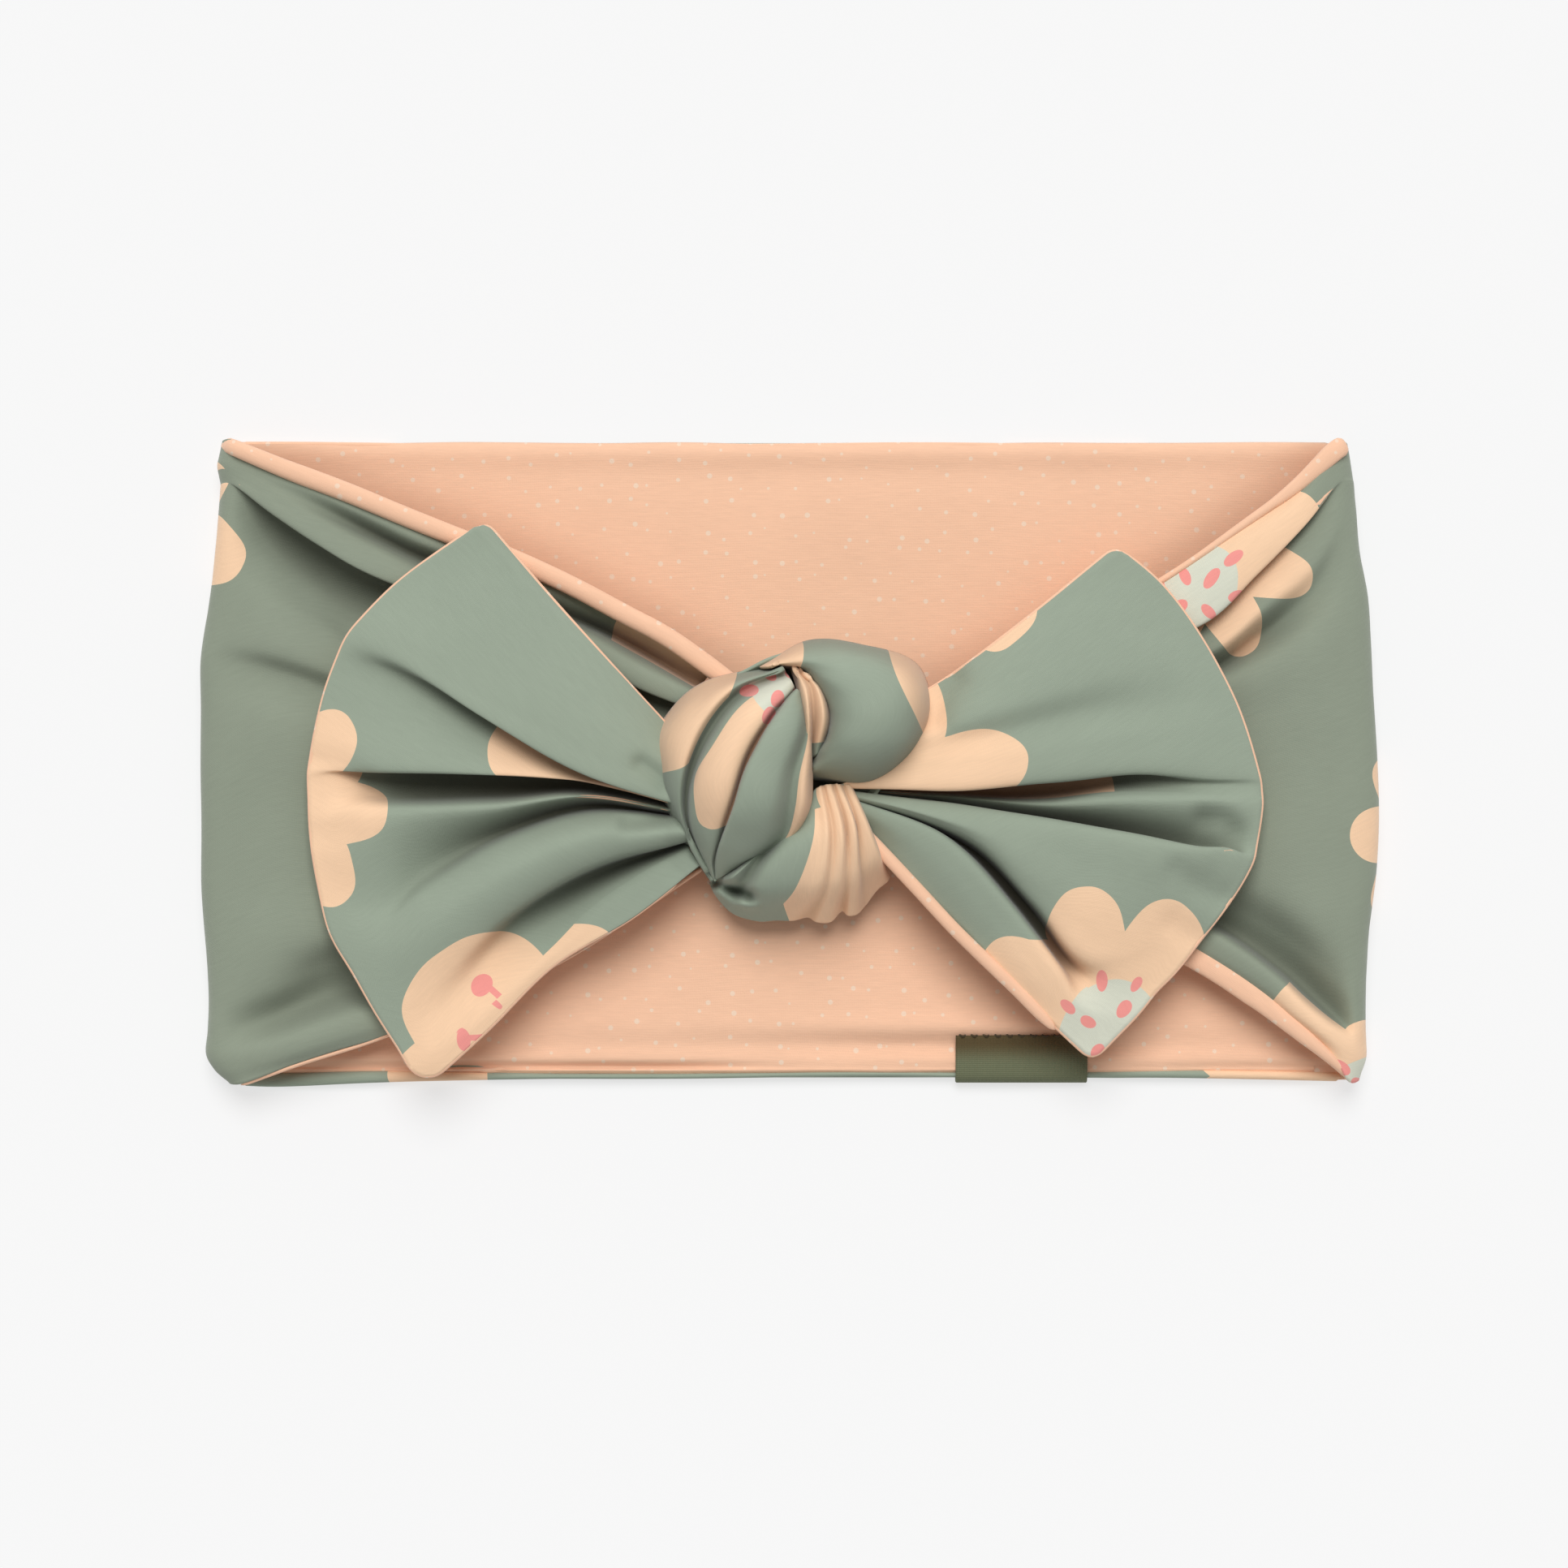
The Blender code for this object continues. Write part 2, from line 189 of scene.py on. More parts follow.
def mesh_object(name, points, faces, places, weave, painted_shade=0.0):
    """A smooth mesh, given in millimetres, that keeps the coordinates of its print and its knit."""
    mesh = bpy.data.meshes.new(name)
    mesh.from_pydata([tuple(p) for p in np.asarray(points) * MM], [], faces)
    for attribute, values in (("print", places), ("weave", weave)):
        store = mesh.attributes.new(attribute, "FLOAT_VECTOR", "POINT")
        store.data.foreach_set("vector", np.asarray(values, np.float32).ravel())
    # The shade painted on each point, darkest deep in a fold.
    store = mesh.attributes.new("painted_shade", "FLOAT", "POINT")
    store.data.foreach_set("value", np.broadcast_to(painted_shade, len(points)).astype(np.float32))
    mesh.validate()
    mesh.shade_smooth()
    made = bpy.data.objects.new(name, mesh)
    bpy.context.scene.collection.objects.link(made)
    return made


EDGE_ROUND = 3  # a cloth's edge stands out by its thickness over this


def cloth(name, grid, places, thickness=CLOTH, shade=0.0):
    """A closed sheet of cloth with a rounded edge, whose top face is the grid."""
    rows, columns = grid.shape[:2]
    down = -facing_up(grid) * np.broadcast_to(thickness, columns)[:, None]
    flip = normals_of(grid)[..., 2].sum() < 0
    points = np.concatenate([grid.reshape(-1, 3), (grid + down).reshape(-1, 3)])
    below = rows * columns
    at = np.arange(below).reshape(rows, columns)
    faces = []
    for i in range(rows - 1):
        for j in range(columns - 1):
            cell = (at[i, j], at[i, j + 1], at[i + 1, j + 1], at[i + 1, j])
            cell = cell[::-1] if flip else cell
            faces.append(tuple(int(k) for k in cell))
            faces.append(tuple(int(below + k) for k in reversed(cell)))
    ring = [*at[0, :-1], *at[:-1, -1], *at[-1, :0:-1], *at[:0:-1, 0]]
    ring = [int(k) for k in (ring[::-1] if flip else ring)]
    middle = 2 * below
    for i, k in enumerate(ring):
        following = (i + 1) % len(ring)
        mid, mid_next = middle + i, middle + following
        faces.append((ring[following], k, mid, mid_next))
        faces.append((mid_next, mid, below + k, below + ring[following]))
    flat = grid.reshape(-1, 3)
    centre = flat.mean(axis=0)
    edge = flat[ring] + down.reshape(-1, 3)[ring] / 2
    outward = flat[ring] - centre
    outward[:, 2] = 0
    outward /= np.linalg.norm(outward, axis=1, keepdims=True)
    points = np.concatenate([points, edge + outward * CLOTH / EDGE_ROUND])
    kept = []
    # The third set of values is painted shade: deep in the folds, or as given.
    for values in (places, weave_places(grid), np.maximum(fold_shade(grid), shade)):
        flat_values = values.reshape(below, -1)
        kept.append(np.concatenate([flat_values, flat_values, flat_values[ring]]))
    return mesh_object(name, points, faces, kept[0], kept[1], kept[2][:, 0])


CORD_END = 0.1  # the size of a cord's very end, as a share of its own


def roll(name, path, width, height, sides=14, taper=0.0):
    """A flattened cord along a path, such as a rolled edge. taper rounds its two ends.

    width is a number, or (place along x, width) pairs.
    """
    path = np.asarray(path, float)
    count = len(path)
    if isinstance(width, tuple):
        width = np.interp(path[:, 0], *zip(*width))
    width = np.broadcast_to(width, count)[:, None]
    ahead = np.gradient(path, axis=0)
    ahead /= np.linalg.norm(ahead, axis=1, keepdims=True) + TINY
    side = np.cross(ahead, (0, 0, 1))
    side /= np.linalg.norm(side, axis=1, keepdims=True) + TINY
    up = np.cross(side, ahead)
    ends = np.minimum(np.arange(count), np.arange(count)[::-1]) / max(count * taper, 1)
    size = np.sqrt(1 - (1 - np.clip(ends, 0, 1)) ** 2) * (1 - CORD_END) + CORD_END
    turn = np.linspace(0, 2 * math.pi, sides, endpoint=False)
    points = (
        path[:, None]
        + side[:, None] * (np.cos(turn) * width / 2)[..., None] * size[:, None, None]
        + up[:, None] * (np.sin(turn) * height / 2)[None, :, None] * size[:, None, None]
    ).reshape(-1, 3)
    faces = []
    for i in range(count - 1):
        for k in range(sides):
            n = (k + 1) % sides
            a, b = i * sides, (i + 1) * sides
            faces.append((a + k, b + k, b + n, a + n))
    faces.append(tuple(range(sides)))
    faces.append(tuple(reversed(range((count - 1) * sides, count * sides))))
    places = points.copy()
    places[:, 2] = 0
    far = np.linalg.norm(np.diff(path, axis=0, prepend=path[:1]), axis=1).cumsum()
    weave = np.zeros_like(points)
    weave[:, 0] = (turn * (width + height) / 4).ravel()
    weave[:, 1] = np.repeat(far, sides)
    return mesh_object(name, points, faces, places, weave)


# ---------------------------------------------------------------- materials


class Graph:
    """A node tree with short calls for its maths."""

    def __init__(self, tree):
        self.tree = tree

    def node(self, kind, **settings):
        made = self.tree.nodes.new(kind)
        for name, value in settings.items():
            setattr(made, name, value)
        return made

    def feed(self, socket, value):
        if isinstance(value, bpy.types.NodeSocket):
            self.tree.links.new(value, socket)
        else:
            socket.default_value = value

    def maths(self, operation, *values):
        made = self.node("ShaderNodeMath", operation=operation)
        for socket, value in zip(made.inputs, values):
            self.feed(socket, value)
        return made.outputs[0]

    def vector(self, operation, *values):
        made = self.node("ShaderNodeVectorMath", operation=operation)
        for socket, value in zip(made.inputs, values):
            self.feed(socket, value)
        return made.outputs["Value" if operation == "LENGTH" else 0]

    def mix(self, factor, first, second):
        """The first colour where factor is 0, and the second where it is 1."""
        made = self.node("ShaderNodeMix", data_type="RGBA")
        sockets = (made.inputs[0], made.inputs[6], made.inputs[7])
        for socket, value in zip(sockets, (factor, first, second)):
            self.feed(socket, value)
        return made.outputs[2]

    def noise(self, place, scale, detail=2.0):
        made = self.node("ShaderNodeTexNoise")
        self.feed(made.inputs["Vector"], place)
        made.inputs["Scale"].default_value = scale
        made.inputs["Detail"].default_value = detail
        return made.outputs["Fac"]

    def spread(self, value, low, high):
        """Maps 0 to 1 onto low to high."""
        return self.maths("MULTIPLY_ADD", value, high - low, low)

    def ellipse(self, x, y, half_x, half_y, power=2.0):
        """1 inside an ellipse, or inside a rounder box for a power above 2."""
        a = self.maths("POWER", self.maths("ABSOLUTE", self.maths("DIVIDE", x, half_x)), power)
        b = self.maths("POWER", self.maths("ABSOLUTE", self.maths("DIVIDE", y, half_y)), power)
        return self.maths("LESS_THAN", self.maths("ADD", a, b), 1.0)


def colour(red, green, blue):
    """A linear colour from display values of 0 to 255."""
    return (*(((c / 255 + 0.055) / 1.055) ** 2.4 for c in (red, green, blue)), 1.0)


SAGE = colour(157, 169, 151)
SHADED_SAGE = colour(148, 157, 139)  # the same sage, painted darker for the shade that falls on the front halves
PETAL = colour(253, 214, 177)
MINT = colour(222, 224, 206)
PINK = colour(250, 160, 152)
PEACH = colour(251, 203, 170)
DOT = colour(246, 230, 210)
OLIVE = colour(112, 117, 90)
BROWN = colour(92, 78, 50)
STITCH = colour(58, 48, 36)


# A flower's parts, as shares of its radius.
PETAL_MIDDLE, PETAL_HALF, PETAL_POWER = 0.55, 0.45, 2.3
STAMEN_HEAD = (0.6, 0.02, 0.075, 0.1)  # its middle and its half sizes
STAMEN_STALK = (0.44, 0.17, 0.026, 4.0)  # its middle, its half sizes and its power
SEED_HALVES = (0.062, 0.038)
SEED_RINGS = ((8.0, 1.02), (4.0, 0.48))  # how many seeds, and their distance in disc radii
LEAST_DISC = 0.1  # a flower with a smaller disc has no seeds


def flower_group():
    """A flower of rounded petals round a disc with seeds, and with stamens if it has any."""
    tree = bpy.data.node_groups.new("Flower", "ShaderNodeTree")
    face = tree.interface
    face.new_socket("Place", in_out="INPUT", socket_type="NodeSocketVector")
    face.new_socket("Centre", in_out="INPUT", socket_type="NodeSocketVector")
    for name in ("Radius", "Turn", "Petals", "Width", "Core", "Disc", "Stamens"):
        face.new_socket(name, in_out="INPUT", socket_type="NodeSocketFloat")
    for name in ("Petal", "Mint", "Pink"):
        face.new_socket(name, in_out="OUTPUT", socket_type="NodeSocketFloat")
    g = Graph(tree)
    given = g.node("NodeGroupInput").outputs
    from_centre = g.vector("SUBTRACT", given["Place"], given["Centre"])
    split = g.node("ShaderNodeSeparateXYZ")
    g.feed(split.inputs[0], from_centre)
    radius = g.maths("DIVIDE", g.vector("LENGTH", from_centre), given["Radius"])
    angle = g.maths("ARCTAN2", split.outputs[1], split.outputs[0])
    angle = g.maths("SUBTRACT", angle, given["Turn"])

    def folded(count):
        """Polar coordinates folded into one of count equal sectors, as x and y."""
        half = g.maths("DIVIDE", math.pi, count)
        within = g.maths("WRAP", angle, half, g.maths("MULTIPLY", half, -1.0))
        x = g.maths("MULTIPLY", radius, g.maths("COSINE", within))
        return x, g.maths("MULTIPLY", radius, g.maths("SINE", within))

    x, y = folded(given["Petals"])
    petal = g.maths("SUBTRACT", x, PETAL_MIDDLE)
    petal = g.ellipse(petal, y, PETAL_HALF, given["Width"], PETAL_POWER)
    petal = g.maths("MAXIMUM", petal, g.maths("LESS_THAN", radius, given["Core"]))
    mint = g.maths("LESS_THAN", radius, given["Disc"])
    x, y = folded(g.maths("MAXIMUM", given["Stamens"], 1.0))
    middle, aside, *halves = STAMEN_HEAD
    head = g.ellipse(g.maths("SUBTRACT", x, middle), g.maths("SUBTRACT", y, aside), *halves)
    middle, *halves = STAMEN_STALK
    stalk = g.ellipse(g.maths("SUBTRACT", x, middle), y, *halves)
    wanted = g.maths("GREATER_THAN", given["Stamens"], 0.5)
    stamen = g.maths("MULTIPLY", g.maths("MAXIMUM", head, stalk), wanted)
    seeds = []
    for count, share in SEED_RINGS:
        x, y = folded(count)
        x = g.maths("SUBTRACT", x, g.maths("MULTIPLY", given["Disc"], share))
        seeds.append(g.ellipse(x, y, *SEED_HALVES))
    has_disc = g.maths("GREATER_THAN", given["Disc"], LEAST_DISC)
    seeds = g.maths("MULTIPLY", g.maths("MAXIMUM", *seeds), has_disc)
    result = g.node("NodeGroupOutput").inputs
    g.feed(result["Petal"], petal)
    g.feed(result["Mint"], mint)
    g.feed(result["Pink"], g.maths("MAXIMUM", stamen, seeds))
    return tree


HALF_WALE = 0.21  # half the width of a column of stitches
HALF_COURSE = 0.17  # half the height of a stitch
STITCH_SLOPE = 0.9


def knit_height(g, place):
    """The height of fine jersey: columns of small V stitches."""
    split = g.node("ShaderNodeSeparateXYZ")
    g.feed(split.inputs[0], place)
    column = g.maths("PINGPONG", split.outputs[0], HALF_WALE)
    slant = g.maths("MULTIPLY_ADD", column, STITCH_SLOPE, split.outputs[1])
    stitch = g.maths("PINGPONG", slant, HALF_COURSE)
    wale = g.maths("SINE", g.maths("MULTIPLY", column, math.pi / HALF_WALE))
    return g.maths("MULTIPLY", wale, g.maths("MULTIPLY_ADD", stitch, 2.5, 0.5))


IN_SHADE = (0.14, 0.1, 0.08)  # what is left of a colour deep in a fold
DEEPEST = 0.96  # the most shade that a fold has
SHADE_CURVE, SHADE_GAIN = 1.4, 1.15  # how shade follows a fold's depth
STREAKS = (0.94, 1.06)  # fine streaks along the knit
STREAK_SHAPE, STREAK_SCALE = (1.0, 0.12, 1.0), 2.2
CLOUDS = (0.965, 1.035)  # and its broader unevenness
CLOUD_SCALE = 0.06
UNEVEN = 0.06  # how much the roughness varies
ROUGH_SCALE, FUZZ_SCALE = 1.5, 3.0
SHEEN_ROUGHNESS, SPECULAR, RELIEF = 0.45, 0.2, 0.5


def fabric(name, paint, height=knit_height, roughness=0.85, sheen=0.25, depth=0.00005):
    """A cloth material: paint(g, place) gives its colour and height(g, weave) its relief."""
    made = bpy.data.materials.new(name)
    made.use_nodes = True
    g = Graph(made.node_tree)
    shader = made.node_tree.nodes["Principled BSDF"]
    place = g.node("ShaderNodeAttribute", attribute_name="print").outputs["Vector"]
    weave = g.node("ShaderNodeAttribute", attribute_name="weave").outputs["Vector"]
    tint = paint(g, place)
    stretched = g.vector("MULTIPLY", weave, STREAK_SHAPE)
    streaks = g.spread(g.noise(stretched, STREAK_SCALE), *STREAKS)
    clouds = g.spread(g.noise(weave, CLOUD_SCALE, detail=3.0), *CLOUDS)
    heather = g.maths("MULTIPLY", streaks, clouds)
    # Painted shade: the colour is darkened towards IN_SHADE where a fold is deep.
    painted_shade = g.node("ShaderNodeAttribute", attribute_name="painted_shade").outputs["Fac"]
    shaded = g.maths("MULTIPLY", g.maths("POWER", painted_shade, SHADE_CURVE), SHADE_GAIN)
    shaded = g.maths("MINIMUM", shaded, DEEPEST)
    tint = g.mix(shaded, tint, g.vector("MULTIPLY", tint, IN_SHADE))
    g.feed(shader.inputs["Base Color"], g.vector("MULTIPLY", tint, heather))
    uneven = g.spread(g.noise(weave, ROUGH_SCALE), roughness - UNEVEN, roughness + UNEVEN)
    g.feed(shader.inputs["Roughness"], uneven)
    shader.inputs["Sheen Weight"].default_value = sheen
    shader.inputs["Sheen Roughness"].default_value = SHEEN_ROUGHNESS
    shader.inputs["Specular IOR Level"].default_value = SPECULAR
    bump = g.node("ShaderNodeBump")
    bump.inputs["Strength"].default_value = RELIEF
    bump.inputs["Distance"].default_value = depth
    stitches = height(g, weave)
    fuzz = g.noise(weave, FUZZ_SCALE)
    g.feed(bump.inputs["Height"], g.maths("ADD", stitches, fuzz))
    g.feed(shader.inputs["Normal"], bump.outputs[0])
    return made


FLOWER = flower_group()


def flower(x, y, radius, turn, petals=8, zone=0, width=0.3, core=0.42, disc=0.0, stamens=0):
    """A flower's place and size in the print, in millimetres and degrees, and its shape.

    petals and stamens are how many go round it. width is a petal's half width, core the
    radius of the cloth that joins the petals, and disc the radius of the pale disc.
    """
    sizes = {"Radius": radius, "Turn": math.radians(turn), "Petals": petals, "Width": width}
    sizes |= {"Core": core, "Disc": disc, "Stamens": stamens}
    return (x, y - ZONE_STEP * zone, 0), sizes


WOBBLE_SCALE = 0.09  # how quickly the print's outlines wander
WOBBLE = (3.5, 3.5, 0)  # and how far, in millimetres


def printed(name, flowers, ground=SAGE):
    """Sage cloth with flowers on it."""

    def paint(g, place):
        wobble = g.node("ShaderNodeTexNoise")
        g.feed(wobble.inputs["Vector"], place)
        wobble.inputs["Scale"].default_value = WOBBLE_SCALE
        wobble.inputs["Detail"].default_value = 0.0
        shift = g.vector("SUBTRACT", wobble.outputs["Color"], (0.5, 0.5, 0.5))
        bent = g.vector("ADD", place, g.vector("MULTIPLY", shift, WOBBLE))
        masks = [0.0, 0.0, 0.0]
        for centre, sizes in flowers:
            group = g.node("ShaderNodeGroup", node_tree=FLOWER)
            g.feed(group.inputs["Place"], bent)
            group.inputs["Centre"].default_value = centre
            for socket, value in sizes.items():
                group.inputs[socket].default_value = value
            masks = [g.maths("MAXIMUM", m, o) for m, o in zip(masks, group.outputs)]
        tint = g.mix(masks[0], ground, PETAL)
        tint = g.mix(masks[1], tint, MINT)
        return g.mix(masks[2], tint, PINK)

    return fabric(name, paint)


DOTS_IN_A_MM = 0.24
DOT_SIZES = (0.045, 0.11)
DOT_STRENGTH = 0.55


def dotted(name):
    """Peach cloth with small uneven dots."""

    def paint(g, place):
        cells = g.node("ShaderNodeTexVoronoi", voronoi_dimensions="2D")
        g.feed(cells.inputs["Vector"], place)
        cells.inputs["Scale"].default_value = DOTS_IN_A_MM
        cells.inputs["Randomness"].default_value = 0.8
        hue = g.node("ShaderNodeSeparateXYZ")
        g.feed(hue.inputs[0], cells.outputs["Color"])
        size = g.spread(hue.outputs[0], *DOT_SIZES)
        dot = g.maths("LESS_THAN", cells.outputs["Distance"], size)
        return g.mix(g.maths("MULTIPLY", dot, DOT_STRENGTH), PEACH, DOT)

    return fabric(name, paint)


OLIVE_BELOW, SHADED_ABOVE = -52.0, -48.0  # where the label turns from olive to a painted brown shade, along y
RIB = 0.55  # the ribs' spacing
RIBBON_THREAD = 0.35  # the cross threads' spacing


def woven(name):
    """Ribbed olive ribbon, painted browner towards its sewn edge as shade."""

    def paint(g, place):
        split = g.node("ShaderNodeSeparateXYZ")
        g.feed(split.inputs[0], place)
        # Painted shade: the ribbon turns brown towards its sewn edge.
        up = g.node("ShaderNodeMapRange", interpolation_type="SMOOTHSTEP")
        g.feed(up.inputs[0], split.outputs[1])
        up.inputs[1].default_value = OLIVE_BELOW
        up.inputs[2].default_value = SHADED_ABOVE
        return g.mix(up.outputs[0], OLIVE, BROWN)

    def height(g, weave):
        split = g.node("ShaderNodeSeparateXYZ")
        g.feed(split.inputs[0], weave)
        ribs = g.maths("SINE", g.maths("MULTIPLY", split.outputs[0], 2 * math.pi / RIB))
        threads = g.maths("SINE", g.maths("MULTIPLY", split.outputs[1], 2 * math.pi / RIBBON_THREAD))
        return g.maths("ADD", ribs, g.maths("MULTIPLY", threads, 0.6))

    return fabric(name, paint, height, roughness=0.7, sheen=0.1, depth=0.00008)


def plain(name, dark, pale):
    """Thread that changes a little between two shades."""
    return fabric(name, lambda g, place: g.mix(g.noise(place, 1.2), dark, pale), roughness=0.7)


# ---------------------------------------------------------------- fold lines

# The ears, from the upper edge to the lower one. Each line runs from the knot to the rim.
EAR_LEFT = (
    ((-17, 2, 13), (-28, 14, 15.5), (-40, 27.3, 15), (-51.8, 41, 13.3)),
    ((-17, -1, 16), (-34, 8, 18), (-50, 19, 16.5), (-66, 31, 13)),
    ((-17, -5, 16.5), (-34, 1.5, 18.8), (-52, 11.5, 17.6), (-65, 19.5, 15.4), (-72.5, 24.5, 13.2)),
    ((-17, -8, 16), (-34, -2.6, 18.8), (-52, 7.4, 17.8), (-65, 16, 15.6), (-75.2, 21.2, 13.1)),
    ((-17, -5, 13), (-34, 0.2, 14), (-52, 9.2, 13.2), (-65, 14.6, 12.8), (-77, 17.4, 12.7)),
    ((-17, -7, 12.8), (-34, -1.5, 14), (-52, 4.5, 14), (-66, 8.5, 13.8), (-79.4, 10.6, 12.8)),
    (
        (-17, -8, 14), (-34, -3.6, 15.3), (-52, -2.4, 16.4), (-66, -2, 15.8), (-76, -1.6, 14.2),
        (-81.7, -1, 13.2),
    ),
    (
        (-17, -8, 11), (-34, -2.4, 9.8), (-52, 0.2, 9.1), (-66, -0.2, 9.8), (-76, -2, 12.7),
        (-81.8, -3.2, 12.9),
    ),
    (
        (-17, -8.2, 11), (-34, -4.4, 10), (-50, -5.2, 9.5), (-66, -5.6, 10.2), (-76, -5, 12.6),
        (-81.7, -6, 12.9),
    ),
    (
        (-17, -9, 14), (-34, -6, 14.4), (-50, -7.8, 15.4), (-66, -8.4, 15.4), (-76, -9, 14.4),
        (-81.4, -13, 13.2),
    ),
    (
        (-17, -9.6, 11), (-34, -7.8, 9.8), (-50, -12.6, 9.6), (-62, -19, 10.6), (-69, -24.6, 12.4),
        (-79.8, -22.5, 12.9),
    ),
    (
        (-17, -10, 14.2), (-34, -9.3, 15), (-50, -15, 14.8), (-62, -22.6, 14.2), (-69, -28.4, 13.7),
        (-78, -29.5, 13),
    ),
    ((-17, -12, 16.2), (-34, -13, 18.2), (-52, -21.8, 17.6), (-62, -29.5, 15.4), (-74, -36.3, 13)),
    ((-17, -13.4, 14.6), (-32, -17.2, 16), (-48, -26.2, 15.4), (-59.6, -36.8, 13.8), (-70.1, -43.2, 13)),
    (
        (-17, -13.8, 10.5), (-30, -18, 8.8), (-39, -22.4, 9), (-47, -28, 10.2), (-57, -40, 12.4),
        (-66.5, -48.8, 12.9),
    ),
    (
        (-17, -15, 12.6), (-26, -20.4, 12.8), (-33.6, -26, 12.9), (-39.5, -32, 13.1),
        (-52, -43.5, 13.2), (-64, -52.8, 12.8),
    ),
    (
        (-15, -17.6, 13), (-26.3, -26.4, 13.5), (-40.2, -34.9, 13), (-51.4, -45.9, 12.8),
        (-60.8, -54.4, 12.4),
    ),
)
EAR_RIGHT = (
    ((18, 9, 12.5), (27, 14, 14.5), (41.7, 25, 15), (56, 36.6, 13.2)),
    ((18, 6, 15), (32, 12, 17), (48, 23, 16.3), (63.7, 30.2, 13)),
    ((18, 3, 16), (34, 8, 18.4), (52, 14, 17.5), (70.1, 21.6, 13)),
    ((18, 1, 16), (36, 4.8, 17.3), (55, 9, 16), (75.8, 11.2, 13)),
    ((14, -1.5, 16), (36, 0.5, 18.3), (56, 3.4, 17), (78.2, 5, 13.1)),
    ((8, -4.5, 15), (29.3, -5, 17.8), (44, -3.7, 17.4), (60, -2.2, 16), (74, -3, 14.2), (80.4, -2.8, 13.2)),
    ((8, -4.2, 13), (29.3, -3.2, 12), (44, -1.2, 10.6), (56, -1, 11.6), (70, -3.6, 13.4), (80.6, -4, 13)),
    (
        (8, -4.5, 12.5), (29.3, -5.4, 10.4), (44, -5, 9.8), (56, -3.6, 11.6), (70, -4.6, 13.7),
        (80.7, -5.2, 13),
    ),
    ((8, -4.6, 13), (29, -6.2, 13), (44, -7.4, 14), (58, -6.8, 15.6), (72, -7, 15), (80.8, -7.5, 13.2)),
    (
        (8, -4.8, 12.4), (29, -8, 10.4), (44, -10.6, 9.8), (58, -13.4, 9.8), (69, -15.4, 10.6),
        (75, -15.6, 12.2), (79.8, -14.4, 12.9),
    ),
    (
        (8, -4.9, 14), (29, -7.4, 15.5), (44, -9.8, 17), (58, -12.4, 17.6), (69, -14.6, 16.6),
        (75.5, -15, 14.6), (79.2, -17.2, 13.2),
    ),
    ((8, -5, 14.5), (30, -11, 17.6), (46, -17, 18), (60, -22, 16.8), (76, -23, 13)),
    ((8, -5.2, 14.5), (30.5, -12.4, 17), (44, -22.5, 17.4), (56, -31, 15.6), (71.5, -29, 13)),
    ((8, -5.3, 14.2), (31, -13.6, 15.8), (42, -24.3, 16), (51, -34, 15), (66, -36, 13)),
    (
        (8, -5.3, 12.4), (30.5, -14.6, 10.6), (41, -24.8, 10), (48, -34.2, 10.8), (53, -38.6, 13.2),
        (62.6, -39.4, 13),
    ),
    (
        (8, -5.5, 12.8), (28.4, -13.6, 11.6), (39, -24.4, 10.8), (46.8, -34.8, 11.4),
        (51.5, -40, 13.2), (60.6, -42, 13),
    ),
    (
        (7.6, -5.6, 14.5), (26, -12.6, 16), (37, -23.8, 16), (46, -35.6, 14.8), (50, -42, 13.8),
        (58.5, -44.4, 13),
    ),
    ((7.2, -5.8, 14.5), (24, -15, 16), (33.5, -25, 15.6), (44.5, -38.5, 14.4), (55.5, -47.5, 12.8)),
    (
        (6.5, -6, 12.5), (13.5, -12, 13), (21.8, -20.6, 13.5), (31.4, -30.3, 13.2),
        (42.9, -42.6, 12.8), (52, -51.2, 12.4),
    ),
)

